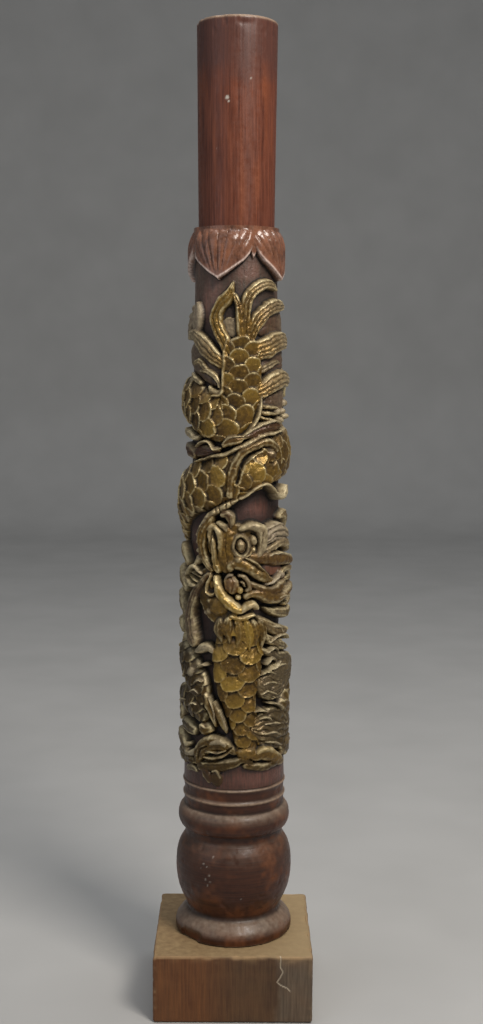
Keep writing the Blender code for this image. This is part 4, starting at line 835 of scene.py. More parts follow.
def sharpen(mesh, place, crease):
    """Marks an edge as sharp where the faces beside it turn by more than the crease, and both end rows."""
    rows, columns = place.shape[:2]
    beside_it = np.roll(place, -1, axis=1)
    facing = np.cross(place[1:] - beside_it[:-1], beside_it[1:] - place[:-1])
    facing /= np.maximum(np.linalg.norm(facing, axis=2, keepdims=True), 1e-9)
    flat = math.cos(crease)
    level = np.ones((rows, columns), bool)
    level[1:-1] = (facing[1:] * facing[:-1]).sum(2) < flat
    upright = (facing * np.roll(facing, 1, axis=1)).sum(2) < flat
    ends = np.empty(len(mesh.edges) * 2, np.int32)
    mesh.edges.foreach_get("vertices", ends)
    low_end, high_end = ends.reshape(-1, 2).min(1), ends.reshape(-1, 2).max(1)
    inside = high_end < rows * columns
    row, column, gap = low_end // columns, low_end % columns, high_end - low_end
    # Edges along a row, the one that closes the row, and edges from row to row
    along = inside & (gap == 1) & (column < columns - 1)
    closing = inside & (gap == columns - 1) & (column == 0)
    upward = inside & (gap == columns)
    sharp = np.zeros(len(mesh.edges), bool)
    sharp[along] = level[row[along], column[along]]
    sharp[closing] = level[row[closing], columns - 1]
    sharp[upward] = upright[row[upward], column[upward]]
    mesh.edges.foreach_set("use_edge_sharp", sharp)


def closed_grid(name, place, attributes, tip_low=None, tip_high=None, crease=math.radians(34.0)):
    """Closed piece from a grid of points (rows, columns, 3), rows upward and columns round the axis.

    Each cell is a face. The first and the last row close on a point of the axis, which lies at
    that end's own height or where tip_low and tip_high put it, and carries the row's mean numbers.
    """
    rows, columns = place.shape[:2]
    tips = np.array([[0.0, 0.0, place[0, :, 2].mean() if tip_low is None else tip_low],
                     [0.0, 0.0, place[-1, :, 2].mean() if tip_high is None else tip_high]])
    points = np.vstack([place.reshape(-1, 3), tips])
    index = np.arange(rows * columns).reshape(rows, columns)
    after = np.roll(index, -1, axis=1)
    quads = np.stack([index[:-1], after[:-1], after[1:], index[1:]], -1).reshape(-1, 4)
    low = np.stack([after[0], index[0], np.full(columns, rows * columns)], -1)
    high = np.stack([index[-1], after[-1], np.full(columns, rows * columns + 1)], -1)
    corners = np.concatenate([quads.ravel(), low.ravel(), high.ravel()]).astype(np.int32)
    sizes = np.concatenate([np.full(len(quads), 4), np.full(2 * columns, 3)]).astype(np.int32)
    starts = np.concatenate([[0], np.cumsum(sizes)[:-1]]).astype(np.int32)
    mesh = bpy.data.meshes.new(name)
    mesh.vertices.add(len(points))
    mesh.vertices.foreach_set("co", (points * MM).ravel().astype(np.float32))
    mesh.loops.add(len(corners))
    mesh.loops.foreach_set("vertex_index", corners)
    mesh.polygons.add(len(sizes))
    mesh.polygons.foreach_set("loop_start", starts)
    mesh.polygons.foreach_set("use_smooth", np.ones(len(sizes), bool))
    mesh.update(calc_edges=True)
    for key, field in attributes.items():
        values = np.concatenate([field.ravel(), [field[0].mean(), field[-1].mean()]])
        mesh.attributes.new(key, "FLOAT", "POINT").data.foreach_set("value", values.astype(np.float32))
    sharpen(mesh, place, crease)
    piece = bpy.data.objects.new(name, mesh)
    bpy.context.scene.collection.objects.link(piece)
    return piece


def round_the_axis(radius, degrees, height):
    """Points at a radius and an angle round the axis: x = r sin a, y = -r cos a."""
    turn = np.radians(degrees)
    height = np.broadcast_to(height, radius.shape)
    return np.stack([radius * np.sin(turn), -radius * np.cos(turn), height], -1)


def sunk_by(radius, reach, spacing):
    """How far each place of an outline lies inside the mean radius within that reach of it."""
    wide = max(1, int(reach / spacing))
    spread = np.ones(2 * wide + 1) / (2 * wide + 1)
    return np.convolve(np.pad(radius, wide, mode="edge"), spread, mode="valid") - radius


def turned(name, profile, columns, spacing, wear, paint):
    """Turned member: a smooth outline of (radius, height) points carried round the axis.

    The outline is read at even lengths, and the wear in millimetres is taken off it. It is hollow
    where it lies inside the mean of its neighbours, which takes painted shade, and bright where it
    stands out from them, which is dust with painted highlight. What faces up is a ledge, less on the
    bulb's round flank.
    """
    outline = np.array(profile, float)
    run = np.concatenate([[0.0], np.cumsum(np.hypot(*np.diff(outline, axis=0).T))])
    marks = np.linspace(0.0, run[-1], int(run[-1] / spacing) + 1)
    radius, height = np.interp(marks, run, outline[:, 0]), np.interp(marks, run, outline[:, 1])
    degrees = np.arange(columns) * 360.0 / columns
    x, y = np.meshgrid(degrees * CHART_DEGREE, height)
    off, bare = wear(x, y)
    place = round_the_axis(radius[:, None] - off, degrees[None, :], height[:, None])
    rise = sunk_by(radius, 2.4, spacing)
    # Sunk: the hollows, which take painted shade
    sunk = np.maximum(smooth(0.08, 0.7, rise), 0.95 * smooth(0.3, 1.9, sunk_by(radius, 7.0, spacing)))
    ragged = y + 0.5 * cloudy(x, y * 0.3, 12.0, 46, ROUND)
    facing = np.interp(ragged, height, np.clip(-np.gradient(radius) / spacing * 1.3, 0.0, 1.0))
    facing = facing * np.interp(y, (78.0, 84.0, 110.0, 114.0), (1.0, 0.3, 0.3, 1.0))
    fields = {
        "bare": bare, "edge": smooth(0.1, 0.5, np.broadcast_to(-rise[:, None], x.shape)),
        "hollow": np.broadcast_to(sunk[:, None], x.shape), "ledge": facing,
        "paint": paint(x / CHART_DEGREE, y),
    }
    return closed_grid(name, place, fields)


# Colours and materials

def colour(code):
    """sRGB hex to linear light with an alpha of 1."""
    parts = [int(code[k:k + 2], 16) / 255.0 for k in (1, 3, 5)]
    return (*[p / 12.92 if p <= 0.04045 else ((p + 0.055) / 1.055) ** 2.4 for p in parts], 1.0)


def add(tree, kind, inputs=None, **settings):
    """One node with its settings, and its inputs given as values or as sockets to link."""
    made = tree.nodes.new(kind)
    for key, value in settings.items():
        setattr(made, key, value)
    for key, value in (inputs or {}).items():
        if isinstance(value, bpy.types.NodeSocket):
            tree.links.new(value, made.inputs[key])
        else:
            made.inputs[key].default_value = value
    return made


def start(name, *keys):
    """New material with its shader, its Object coordinates, and the numbers the mesh carries."""
    made = bpy.data.materials.new(name)
    made.use_nodes = True
    tree = made.node_tree
    mark = {key: add(tree, "ShaderNodeAttribute", attribute_name=key).outputs["Fac"] for key in keys}
    place = add(tree, "ShaderNodeTexCoord").outputs["Object"]
    return made, tree, tree.nodes["Principled BSDF"], place, mark


def thickness(tree, *parts):
    """Product of shares: each a number, a socket, or (socket, low, high, first, last), which goes
    from first to last while the socket goes from low to high, and from 0 to 1 without those two."""
    amount = None
    for part in parts:
        if isinstance(part, tuple):
            value, low, high, first, last = part if len(part) == 5 else (*part, 0.0, 1.0)
            part = add(tree, "ShaderNodeMapRange", {"Value": value, "From Min": low, "From Max": high,
                                                    "To Min": first, "To Max": last}).outputs[0]
        if amount is not None:
            part = add(tree, "ShaderNodeMath", {0: amount, 1: part}, operation="MULTIPLY").outputs[0]
        amount = part
    return amount


def coat(tree, under, over, *parts):
    """One colour laid over another, as thick as the product of the shares."""
    made = add(tree, "ShaderNodeMix", {0: thickness(tree, *parts), 6: under, 7: over}, data_type="RGBA")
    return made.outputs[2]


def speckle(tree, place, millimetres, detail=3.0, stretch=(1.0, 1.0, 1.0), low=0.3, high=0.7):
    """Noise whose lumps are that many millimetres across, spread to the whole range 0 to 1."""
    moved = add(tree, "ShaderNodeMapping", {"Vector": place, "Scale": stretch}).outputs["Vector"]
    noise = add(tree, "ShaderNodeTexNoise", {"Vector": moved, "Scale": 1.0 / (millimetres * MM),
                                             "Detail": detail, "Roughness": 0.55}).outputs["Fac"]
    return thickness(tree, (noise, low, high))


def roughen(tree, shader, coarse, fine, strength, millimetres):
    """Bump of the surface from two patterns, that many millimetres deep."""
    relief = add(tree, "ShaderNodeMix", {0: 0.4, 2: coarse, 3: fine}).outputs[0]
    bump = add(tree, "ShaderNodeBump", {"Height": relief, "Strength": strength,
                                        "Distance": millimetres * MM})
    tree.links.new(bump.outputs["Normal"], shader.inputs["Normal"])


def gilded_wood():
    """Worn gold paint over stained hardwood: olive gold on the faces, brown where it is rubbed thin,
    near black in the cuts as painted shade, bright on the cut edges and the scales' rims where they
    are rubbed and as painted highlight, and pale dust on what faces up."""
    made, tree, shader, place, mark = start(
        "worn_gilding_on_hardwood", "gilt", "hollow", "edge", "ledge", "dust", "tone", "rim")
    # Patches of 9 mm where the gilding is thin, lumps of 2.5 mm in it, and specks of 0.8 mm
    broad, lumps, specks = (speckle(tree, place, size) for size in (9.0, 2.5, 0.8))
    grain = speckle(tree, place, 1.4, 4.0, (1.0, 1.0, 0.12))
    # The wear and painted highlight on the edges come and go every 5 mm
    rubs_and_highlights = thickness(tree, (speckle(tree, place, 5.0, 2.0), 0.2, 0.75, 0.2, 1.0))
    # Tone: the carving's own lighter and darker parts, with the painted shade of the darkened patches and the
    # painted light and shade across each scale
    light, dark = (thickness(tree, (mark["tone"], 0.0, end)) for end in (1.0, -1.0))
    wood = coat(tree, colour("#2b140e"), colour("#55291d"), grain)
    wood = coat(tree, wood, coat(tree, colour("#54302a"), colour("#835449"), grain), light)
    gold = coat(tree, colour("#57411b"), colour("#94722f"), lumps)
    gold = coat(tree, gold, colour("#46311a"), broad, 0.55)
    gold = coat(tree, gold, colour("#bd9a42"), light, 0.75)
    gold = coat(tree, gold, colour("#33270f"), dark, 0.8)
    cover = thickness(tree, mark["gilt"], (specks, 0.0, 0.25, 0.55, 1.0))
    shade = coat(tree, wood, gold, cover)
    # Painted highlight with wear: pale on the scales' rims and on the cut edges
    shade = coat(tree, shade, colour("#ddca97"), mark["rim"], rubs_and_highlights, 0.95)
    shade = coat(tree, shade, colour("#e6d4a2"), mark["edge"], mark["gilt"], rubs_and_highlights, 0.7)
    fallen = add(tree, "ShaderNodeMath", {0: thickness(tree, mark["dust"], 0.7),
                                          1: thickness(tree, mark["ledge"], 0.4)},
                 operation="MAXIMUM").outputs[0]
    dusty = thickness(tree, fallen, (lumps, 0.0, 1.0, 0.5, 1.0))
    shade = coat(tree, shade, colour("#b1a68c"), dusty)
    # Painted shade: near black in the hollows and at the scales' roots
    shade = coat(tree, shade, colour("#0d0805"), mark["hollow"], 0.95)
    tree.links.new(shade, shader.inputs["Base Color"])
    dull = add(tree, "ShaderNodeMath", {0: mark["hollow"], 1: dusty}, operation="MAXIMUM").outputs[0]
    tree.links.new(thickness(tree, cover, (dull, 0.0, 1.0, 0.55, 0.0)), shader.inputs["Metallic"])
    rough = add(tree, "ShaderNodeMath", {0: thickness(tree, (specks, 0.0, 1.0, 0.26, 0.45)),
                                         1: thickness(tree, dull, 0.4)}, operation="ADD").outputs[0]
    tree.links.new(rough, shader.inputs["Roughness"])
    roughen(tree, shader, lumps, specks, 0.5, 0.35)
    return made


def lacquered_collar():
    """Worn red-brown lacquer, still glossy: pale pink on the ridges, where they are rubbed and as a
    painted highlight, and dark in the flutes as painted shade."""
    made, tree, shader, place, mark = start("worn_red_lacquer", "hollow", "edge", "ledge")
    broad, lumps = speckle(tree, place, 7.0), speckle(tree, place, 2.0)
    streaks = speckle(tree, place, 1.6, 3.0, (1.0, 1.0, 0.2))
    shade = coat(tree, colour("#3f2010"), colour("#855236"), broad)
    shade = coat(tree, shade, colour("#966a52"), streaks, 0.5)
    # Painted highlight with wear: pale pink on the ridges
    shade = coat(tree, shade, colour("#e6cfc2"), mark["edge"], (streaks, 0.0, 1.0, 0.35, 1.0))
    shade = coat(tree, shade, colour("#b79c90"), mark["ledge"], lumps, 0.5)
    # Painted shade in the flutes and hollows
    shade = coat(tree, shade, colour("#1a0f0b"), mark["hollow"], 0.92)
    tree.links.new(shade, shader.inputs["Base Color"])
    tree.links.new(thickness(tree, (lumps, 0.0, 1.0, 0.17, 0.42)), shader.inputs["Roughness"])
    shader.inputs["Coat Weight"].default_value = 0.35
    shader.inputs["Coat Roughness"].default_value = 0.16
    roughen(tree, shader, lumps, streaks, 0.5, 0.4)
    return made


def stained_wood():
    """Turned hardwood, stained red-brown and waxed: upright grain on the tenon, turning lines on the
    base, orange where knocks thinned the stain, purple-grey on top as dust with a painted sheen, dust
    on the shoulders, pale crests as dust with painted highlight, and painted shade in the hollows."""
    made, tree, shader, place, mark = start(
        "stained_turned_hardwood", "bare", "edge", "hollow", "ledge", "paint")
    height = add(tree, "ShaderNodeSeparateXYZ", {0: place}).outputs[2]
    broad, lumps = speckle(tree, place, 16.0, 3.0), speckle(tree, place, 3.5, 4.0)
    fibres = speckle(tree, place, 1.3, 5.0, (1.0, 1.0, 0.05), 0.25, 0.75)
    turning = speckle(tree, place, 0.9, 4.0, (0.03, 0.03, 1.0), 0.3, 0.7)
    high = thickness(tree, (height, 480 * MM, 500 * MM))
    lines = add(tree, "ShaderNodeMix", {0: high, 2: turning, 3: fibres}).outputs[0]
    tenon = coat(tree, colour("#472114"), colour("#7c4631"), fibres)
    tenon = coat(tree, tenon, colour("#8d4d2c"), mark["bare"], (lumps, 0.0, 1.0, 0.3, 0.8))
    # The purple-grey top, dust with a painted sheen, has a lower end that wanders by 12 mm
    wandering = add(tree, "ShaderNodeMath", {0: height, 1: thickness(tree, broad, 0.012)},
                    operation="ADD").outputs[0]
    tenon = coat(tree, tenon, colour("#4a332e"), (wandering, 604 * MM, 622 * MM, 0.0, 0.6))
    base = coat(tree, colour("#28120a"), colour("#452414"), turning)
    base = coat(tree, base, colour("#4c2f20"), broad, 0.3)
    base = coat(tree, base, colour("#6b3d20"), mark["bare"], (lumps, 0.0, 1.0, 0.4, 0.9))
    shade = coat(tree, base, tenon, high)
    # Dust with painted highlight on the crests
    shade = coat(tree, shade, colour("#b59a80"), mark["edge"], (lumps, 0.0, 1.0, 0.35, 1.0))
    shade = coat(tree, shade, colour("#8d7c6b"), mark["ledge"], (lumps, 0.0, 1.0, 0.45, 0.95))
    # Painted shade in the hollows, as under the torus
    shade = coat(tree, shade, colour("#120907"), mark["hollow"], 0.9)
    shade = coat(tree, shade, colour("#b9b2a6"), mark["paint"])
    tree.links.new(shade, shader.inputs["Base Color"])
    tree.links.new(thickness(tree, (lumps, 0.0, 1.0, 0.3, 0.55)), shader.inputs["Roughness"])
    shader.inputs["Specular IOR Level"].default_value = 0.35
    roughen(tree, shader, lines, lumps, 0.28, 0.25)
    return made


def block_timber():
    """Sawn hardwood block: upright grain in a brown stain that is orange at the left, dark in the
    middle and grey at the right, a dusty ochre top painted lighter to the right as light and darker
    to the left as shade, with bare worn edges, and one pale crack."""
    made, tree, shader, place, mark = start("stained_sawn_timber", "bare", "top", "crack")
    across = add(tree, "ShaderNodeSeparateXYZ", {0: place}).outputs[0]
    fibres = speckle(tree, place, 1.2, 5.0, (1.0, 1.0, 0.06), 0.25, 0.75)
    broad, lumps = speckle(tree, place, 18.0, 3.0), speckle(tree, place, 5.0, 3.0)
    stain = coat(tree, colour("#4c2a11"), colour("#71441e"), fibres)
    stain = coat(tree, stain, coat(tree, colour("#3a2414"), colour("#574027"), fibres),
                 (across, -22 * MM, 4 * MM))
    # The grey stain's edge wanders by 6 mm
    wandering = add(tree, "ShaderNodeMath", {0: across, 1: thickness(tree, broad, 0.006)},
                    operation="ADD").outputs[0]
    stain = coat(tree, stain, coat(tree, colour("#3f352b"), colour("#6b5d4b"), fibres),
                 (wandering, 29 * MM, 34 * MM))
    stain = coat(tree, stain, colour("#7b5330"), broad, 0.25)
    dusty = coat(tree, colour("#836c4b"), colour("#a08861"), lumps)
    dusty = coat(tree, dusty, colour("#7d6040"), broad, 0.3)
    # Painted light and shade on the top: lighter to the right, darker to the left
    dusty = coat(tree, dusty, colour("#ae9770"), (across, -20 * MM, 45 * MM), 0.55)
    shade = coat(tree, stain, dusty, mark["top"], 0.92)
    shade = coat(tree, shade, colour("#ab8c63"), mark["bare"], 0.7)
    shade = coat(tree, shade, colour("#c3b49c"), mark["crack"])
    tree.links.new(shade, shader.inputs["Base Color"])
    shader.inputs["Roughness"].default_value = 0.74
    roughen(tree, shader, fibres, lumps, 0.35, 0.3)
    return made


def give(piece, finishes, node):
    """Finishes a piece: gives it its materials, puts it on the root body, and hides the CAD node it stands in
    for.
    """
    for finish in finishes:
        piece.data.materials.append(finish)
    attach(piece, "root")
    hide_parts(node)
    return piece


# Carved shaft

bare_patches()
carve_back()
carve_tail_flames()
carve_body()
carve_clouds()
carve_chest()
carve_head()
carve_collar()
HOLLOW, EDGE, LEDGE = finish_surface()
SHAFT_PLACE = round_the_axis(bare_radius(GRID_Y) + HEIGHT, DEGREES[None, :], LEVELS[:, None])
GILDING, LACQUER, STAIN, TIMBER = gilded_wood(), lacquered_collar(), stained_wood(), block_timber()
MARKS = {"gilt": GILT, "hollow": HOLLOW, "edge": EDGE, "ledge": LEDGE, "dust": DUST, "tone": TONE,
         "rim": RIM}
BANDS = (
    ("pillar_clouds_and_chest", RINGS_TOP, 238.0), ("pillar_dragon_head", 238.0, 320.0),
    ("pillar_dragon_coil", 320.0, 398.0), ("pillar_tail_and_flames", 398.0, 476.0),
    ("pillar_lotus_collar", 476.0, SHAFT_TOP),
)
# How far each band's ends are dished inward, so that the ends of two bands don't lie on each other
DISH = 4.0
for band_name, band_low, band_high in BANDS:
    first = int(np.argmin(np.abs(LEVELS - band_low)))
    last = int(np.argmin(np.abs(LEVELS - band_high))) + 1
    rows = slice(first, last)
    marks = {key: field[rows] for key, field in MARKS.items()}
    piece = closed_grid(band_name, SHAFT_PLACE[rows], marks, LEVELS[first] + DISH, LEVELS[last - 1] - DISH)
    lacquered = (PETAL[rows][:-1] + PETAL[rows][1:] > 0.5).ravel()
    lacquered = np.concatenate([lacquered, np.zeros(2 * len(DEGREES), bool)])
    piece.data.polygons.foreach_set("material_index", lacquered.astype(np.int32))
    give(piece, (GILDING, LACQUER), "pillar")


# Turned members

# Where the foot is chipped, and the spots of paint as (degrees, level, radius)
CHIP_AT = -48.0
BULB_SPECKS = ((-21, 105, 0.7), (-31, 100, 0.5), (-27, 98.5, 0.4), (-34, 97, 0.4), (-24, 93, 0.5),
               (-28, 90, 0.6), (-23, 88.5, 0.5), (-26, 86, 0.4), (8, 78, 0.4))
TENON_SPOTS = ((-14, 590, 1.5), (-12, 587.5, 0.8), (20, 602, 0.5), (-30, 560, 0.5))


def scuffs(x, y):
    """Wear of the turned base: shallow knocks where two noises meet, a chip off the foot's left
    edge, and stain rubbed through."""
    knocks = smooth(0.35, 0.8, cloudy(x, y, 6.0, 41, ROUND) * 0.6 + cloudy(x, y, 2.2, 42, ROUND) * 0.5)
    rubbed = cloudy(x, y, 11.0, 43, ROUND) * 0.7 + cloudy(x, y, 3.0, 44, ROUND) * 0.45
    turn = x / CHART_DEGREE + cloudy(x, y, 3.0, 47, ROUND) * 5.0
    chip = smooth(16.0, 8.0, np.abs(angle_from(turn, CHIP_AT))) * smooth(54.0, 49.0, y)
    off = 0.3 * knocks + 0.05 * cloudy(x, y, 1.5, 45, ROUND) + 1.7 * chip
    return off, np.maximum(smooth(-0.35, 0.85, rubbed), 0.6 * chip)


def discs(degrees, y, spots, degree, inner, ragged=1.0, margin=0.0):
    """Sum of round spots given as (degrees, level, radius), with that many millimetres to a degree:
    1 within the inner share of the radius and 0 outside it."""
    return sum(
        smooth(1.0, inner, np.hypot(angle_from(degrees, a) * degree, y - z) / (r * ragged + margin))
        for a, z, r in spots)


def base_paint(degrees, y):
    """Pale rubbed specks on the bulb: discs with an edge that a fine noise makes ragged."""
    ragged = 1.3 + 0.9 * cloudy(degrees * CHART_DEGREE, y, 0.9, 48, ROUND)
    return (0.5 * discs(degrees, y, BULB_SPECKS, 0.66, 0.2, ragged, 0.1)).clip(0.0, 0.6)


def tenon_paint(degrees, y):
    """Grey-white paint spot and thin drips on the tenon."""
    return discs(degrees, y, TENON_SPOTS, 0.43, 0.5)


def arc(radius, level, reach, tall, low, high, count=14):
    """Quarter or half round of an outline: radius + reach cos t, level + tall sin t."""
    turn = np.radians(np.linspace(low, high, count))
    return list(zip(radius + reach * np.cos(turn), level + tall * np.sin(turn)))


# One ring's outline as (radius, rise): a slope up and out to a thin crest, and a quick fall behind it
RING = ((33.0, 0.5), (33.1, 2.0), (33.3, 4.2), (33.6, 5.8), (34.2, 6.9), (34.4, 7.5), (34.1, 8.0),
        (33.4, 8.4), (33.1, 8.9))
RING_PITCH = 9.0

# The foot narrows to the neck, and the bulb swells from there and closes on the throat
NECK_RADIUS = 31.3
FOOT_SWELL = 7.9
FOOT_TALL = FOOT_TOP - SEAT
BULB_RADIUS = 38.9
BULB_TALL = BULB_TOP - FOOT_TOP
BASE_OUTLINE = [(38.4, SEAT), (39.0, SEAT + 0.6)]
BASE_OUTLINE += [(NECK_RADIUS + FOOT_SWELL * f, SEAT + FOOT_TALL * s) for s, f in (
    (0.1, 0.98), (0.22, 1.0), (0.34, 0.98), (0.45, 0.9), (0.56, 0.74), (0.66, 0.55), (0.75, 0.38),
    (0.82, 0.16), (0.87, 0.06), (0.93, 0.0), (1.0, 0.0))]
BASE_OUTLINE += [((NECK_RADIUS + 1.6 * s) * (1 - b) + BULB_RADIUS * b, FOOT_TOP + BULB_TALL * s) for s, b in (
    (0.03, 0.06), (0.06, 0.15), (0.12, 0.34), (0.18, 0.52), (0.27, 0.74), (0.36, 0.88), (0.45, 0.96),
    (0.54, 1.0), (0.63, 0.985), (0.72, 0.93), (0.79, 0.81), (0.86, 0.62), (0.91, 0.4), (0.955, 0.16))]
BASE_OUTLINE += [(32.6, BULB_TOP), (32.5, BULB_TOP + 1.7), (32.7, THROAT_TOP)]
BASE_OUTLINE += arc(32.9, TORUS_TOP - 7.75, 4.4, 7.75, -68, 68, 22)
BASE_OUTLINE += [(33.0, TORUS_TOP + 0.2)]
for ring_low in (TORUS_TOP, TORUS_TOP + RING_PITCH):
    BASE_OUTLINE += [(radius, ring_low + rise) for radius, rise in RING]
BASE_OUTLINE += [(33.4, RINGS_TOP + 0.3)]
TURNED_BASE = turned("pillar_turned_base", BASE_OUTLINE, 320, 0.8, scuffs, base_paint)
give(TURNED_BASE, (STAIN,), "pillar")


def tenon_wear(x, y):
    """Wear of the tenon: upright fibres, soft knocks at the top edge, and bare streaks."""
    fibres = 0.07 * cloudy(x, y * 0.04, 1.2, 51, ROUND)
    knocks = smooth(0.3, 0.8, cloudy(x, y, 5.0, 52, ROUND)) * smooth(622.0, 640.0, y) * 0.6
    streaks = cloudy(x, y * 0.12, 4.0, 53, ROUND) * 0.6 + cloudy(x, y * 0.3, 9.0, 54, ROUND) * 0.5
    return fibres + knocks, smooth(0.0, 0.8, streaks) * smooth(625.0, 600.0, y)


TENON_OUTLINE = [(TENON_LOW_RADIUS, SHAFT_TOP - 0.6), (TENON_LOW_RADIUS, SHAFT_TOP + 2.0),
                 (TENON_TOP_RADIUS, PILLAR_TOP - 1.2), (TENON_TOP_RADIUS - 0.4, PILLAR_TOP - 0.4),
                 (TENON_TOP_RADIUS - 1.2, PILLAR_TOP), (TENON_TOP_RADIUS * 0.6, PILLAR_TOP),
                 (1.0, PILLAR_TOP)]
TENON = turned("pillar_tenon", TENON_OUTLINE, 260, 1.0, tenon_wear, tenon_paint)
give(TENON, (STAIN,), "pillar")


# Block

# The block's edges are eased: how far in at each distance from the bottom or the top
EASE_UP = np.array([0.0, 0.25, 0.7, 1.4])
EASE_IN = np.array([1.2, 0.7, 0.25, 0.0])

# Columns of each side but the front, rings over the top, and the reach of an edge's wear
SIDE_COLUMNS = 84
TOP_RINGS = 44
WEAR_REACH = 3.0

# The crack down the right of the front, as places along the front and heights
CRACK_X = (38.0, 36.0, 28.5, 31.0, 32.5, 31.0, 31.0)
CRACK_Z = (21.0, 23.5, 28.0, 31.0, 35.0, 38.0, 45.5)
CRACK_FOOT = 22.0


def near(distance):
    """1 at an edge, falling as exp(-(distance / reach)^2) away from it."""
    return np.exp(-(distance / WEAR_REACH) ** 2)


def worn_block():
    """Square block as square rings: up the faces, then in over the top to its middle.

    Each ring is the square max(|x|, |y|) = 1 with its corners rounded, times the block's half width
    there. Wear is taken inward: saw marks on the faces, chips along the edges, splinters at the
    front's left and a jagged crack. A pale line comes and goes along the top edge.
    """
    half = (BLOCK_HIGH.x - BLOCK_LOW.x) / 2 / MM
    tall = (BLOCK_HIGH.z - BLOCK_LOW.z) / MM
    # Places along each side from -1 to 1, close together on the front where the crack runs
    even = (np.arange(SIDE_COLUMNS) + 0.5) / (SIDE_COLUMNS / 2) - 1
    front = np.concatenate([np.linspace(-0.995, 0.42, 68), np.linspace(0.43, 0.80, 62),
                            np.linspace(0.82, 0.995, 12)])
    along = np.concatenate([front, even, even, even])
    part = np.repeat(np.arange(4), (len(front), SIDE_COLUMNS, SIDE_COLUMNS, SIDE_COLUMNS))
    corner = np.array([[-1, -1], [1, -1], [1, 1], [-1, 1]])
    way = np.array([[1, 0], [0, 1], [-1, 0], [0, -1]])
    unit = corner[part] + way[part] * (along + 1)[:, None]
    levels = np.concatenate([EASE_UP[:3], np.linspace(EASE_UP[3], tall - EASE_UP[3], 58),
                             tall - EASE_UP[2::-1]])
    inset = np.interp(np.minimum(levels, tall - levels), EASE_UP, EASE_IN)
    rings = np.concatenate([half - inset, np.linspace(half - 2.2, 3.0, TOP_RINGS)])
    heights = np.concatenate([levels, np.full(TOP_RINGS, tall)])
    round_off = 1.0 - 0.007 * smooth(0.96, 1.0, np.abs(along)) ** 2
    x = rings[:, None] * unit[None, :, 0] * round_off
    y = rings[:, None] * unit[None, :, 1] * round_off
    z = np.broadcast_to(heights[:, None], x.shape).copy()
    face = (np.arange(len(heights)) < len(levels))[:, None]
    span = np.broadcast_to((part * 2.0 * half + (along + 1) * half)[None, :], x.shape)
    # Edge wear: taken in where the noise is high near the top edge and the upright edges
    rim = near(tall - z) * np.where(face, 1.0, near(half - rings[:, None]))
    upright = near((1 - np.abs(along)) * half)[None, :] * face
    chips = smooth(0.15, 0.8, cloudy(span, z * 2 + 9, 6.0, 61)) * np.maximum(rim, 0.3 * upright)
    saw = (0.05 * cloudy(span * 0.15, z, 1.7, 62) + 0.08 * cloudy(span, z * 0.08, 1.9, 63)) * face
    crack_x = np.interp(z, CRACK_Z, CRACK_X) + 0.5 * cloudy(z, z * 0, 2.0, 64)
    in_front = (part == 0)[None, :] & face
    # The tiny rise keeps the heights of the top's rings apart, as a slope needs
    slope = np.hypot(1.0, np.gradient(crack_x[:, 0], heights + np.arange(len(heights)) * 1e-6))[:, None]
    gap = np.where(in_front, np.abs(x - crack_x) / slope, 99.0) + np.maximum(CRACK_FOOT - z, 0.0) * 0.5
    crack = smooth(0.55, 0.15, gap)
    left = np.where(in_front, smooth(-half + WEAR_REACH, -half, x), 0.0)
    splinter = left * smooth(0.1, 0.8, cloudy(z * 0.4, z, 3.5, 65)) * 0.7
    off = np.clip(0.1 + chips * 0.7 + saw + crack * 0.6 + splinter, 0.0, 3.0)
    shrink = 1.0 - np.where(face, off, 0.0) / half
    x, y = x * shrink, y * shrink
    z = z - np.where(face, 0.0, 0.1 + 0.08 * cloudy(x, y, 9.0, 66) + chips * 0.6).clip(0.0, 2.0)
    line = face * smooth(1.2, 0.3, np.abs(tall - 0.9 - z)) * (0.4 + 0.4 * cloudy(span, z * 0, 5.0, 68))
    rubbed = 0.4 * rim * face * smooth(-0.5, 0.3, cloudy(span, z * 0, 7.0, 67))
    fields = {
        "bare": np.clip(chips * 0.7 + line + rubbed + splinter, 0, 1),
        "top": np.where(face, smooth(tall - 0.9, tall - 0.2, z) * 0.8, 1.0), "crack": crack * 0.9,
    }
    return closed_grid("plinth_block_worn", np.stack([x, y, z], -1), fields)


give(worn_block(), (TIMBER,), "plinth_block")


# Floor, lights and camera

# The backdrop in metres: where the floor starts to bend, the length and the radius of the bend, and
# how far the floor lies under the block
BEND_AT = 2.3
BEND_RUN = 0.6
BEND_RADIUS = 0.38
FLOOR_DROP = 0.0002


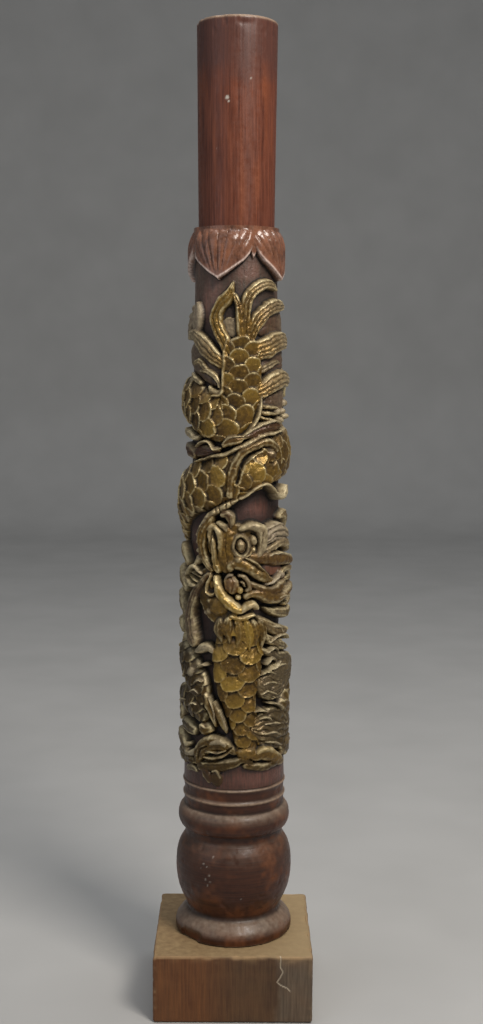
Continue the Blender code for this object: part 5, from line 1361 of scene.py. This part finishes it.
def backdrop():
    """Pale floor that turns up into a wall behind the pillar, as one smooth sheet."""
    run = np.linspace(-3.6, 5.4, 160)
    bend = np.clip((run - BEND_AT) / BEND_RUN, 0.0, 1.0) * np.pi / 2
    depth = np.where(run < BEND_AT, run, BEND_AT + BEND_RADIUS * np.sin(bend))
    rise = BEND_RADIUS * (1 - np.cos(bend)) + np.maximum(run - BEND_AT - BEND_RUN, 0.0)
    x, y = np.meshgrid(np.linspace(-4.0, 4.0, 50), depth)
    place = np.stack([x, y, np.broadcast_to(rise[:, None] - FLOOR_DROP, x.shape)], -1).reshape(-1, 3)
    index = np.arange(len(place)).reshape(x.shape)
    faces = np.stack([index[:-1, :-1], index[:-1, 1:], index[1:, 1:], index[1:, :-1]], -1).reshape(-1, 4)
    mesh = bpy.data.meshes.new("floor")
    mesh.from_pydata(place.tolist(), [], faces.tolist())
    mesh.polygons.foreach_set("use_smooth", np.ones(len(faces), bool))
    made, tree, shader, where, mark = start("pale_floor")
    shade = coat(tree, colour("#aeadaa"), colour("#b5b4b1"), speckle(tree, where, 120.0, 2.0))
    tree.links.new(shade, shader.inputs["Base Color"])
    shader.inputs["Roughness"].default_value = 0.9
    mesh.materials.append(made)
    sheet = bpy.data.objects.new("floor", mesh)
    bpy.context.scene.collection.objects.link(sheet)


def soft_light(name, place, aim, size, watts, tint):
    """Square soft light at a place, turned to face a point."""
    lamp = bpy.data.lights.new(name, "AREA")
    lamp.size, lamp.energy, lamp.color = size, watts, colour(tint)[:3]
    item = bpy.data.objects.new(name, lamp)
    item.location = place
    way = np.array(aim) - np.array(place)
    item.rotation_euler = (math.atan2(math.hypot(way[0], way[1]), -way[2]), 0.0,
                           math.atan2(way[1], way[0]) - math.pi / 2)
    bpy.context.scene.collection.objects.link(item)


# The photograph's camera, fitted to the block's corners and the outline: its place in metres, its
# pitch and roll in radians, and its lens in millimetres
CAMERA_PLACE = (0.0036, -0.8824, 0.432)
CAMERA_PITCH = 0.1167
CAMERA_ROLL = 0.0052
CAMERA_LENS = 47.31


def camera():
    """The photograph's view: from 0.88 m in front, 0.43 m up, pitched down by 6.7 degrees."""
    lens = bpy.data.cameras.new("camera")
    lens.sensor_fit, lens.sensor_width, lens.lens = "AUTO", 36.0, CAMERA_LENS
    lens.clip_start, lens.clip_end = 0.01, 30.0
    item = bpy.data.objects.new("camera", lens)
    item.location = CAMERA_PLACE
    item.rotation_mode = "XYZ"
    item.rotation_euler = (math.pi / 2 - CAMERA_PITCH, -CAMERA_ROLL, 0.0)
    bpy.context.scene.collection.objects.link(item)
    bpy.context.scene.camera = item


backdrop()
soft_light("key", (0.55, -0.78, 1.24), (0.0, 0.0, 0.42), 0.40, 15.0, "#fff8f0")
soft_light("fill", (-1.3, -1.0, 0.9), (0.0, 0.0, 0.3), 1.2, 3.4, "#f2f5ff")
soft_light("top", (0.1, 0.25, 1.9), (0.0, 0.0, 0.3), 1.2, 11.0, "#ffffff")
WORLD = bpy.data.worlds.new("studio")
WORLD.use_nodes = True
SKY = WORLD.node_tree.nodes["Background"]
SKY.inputs["Color"].default_value = colour("#d6dbe2")
SKY.inputs["Strength"].default_value = 0.30
bpy.context.scene.world = WORLD
bpy.context.scene.view_settings.view_transform = "Standard"
camera()
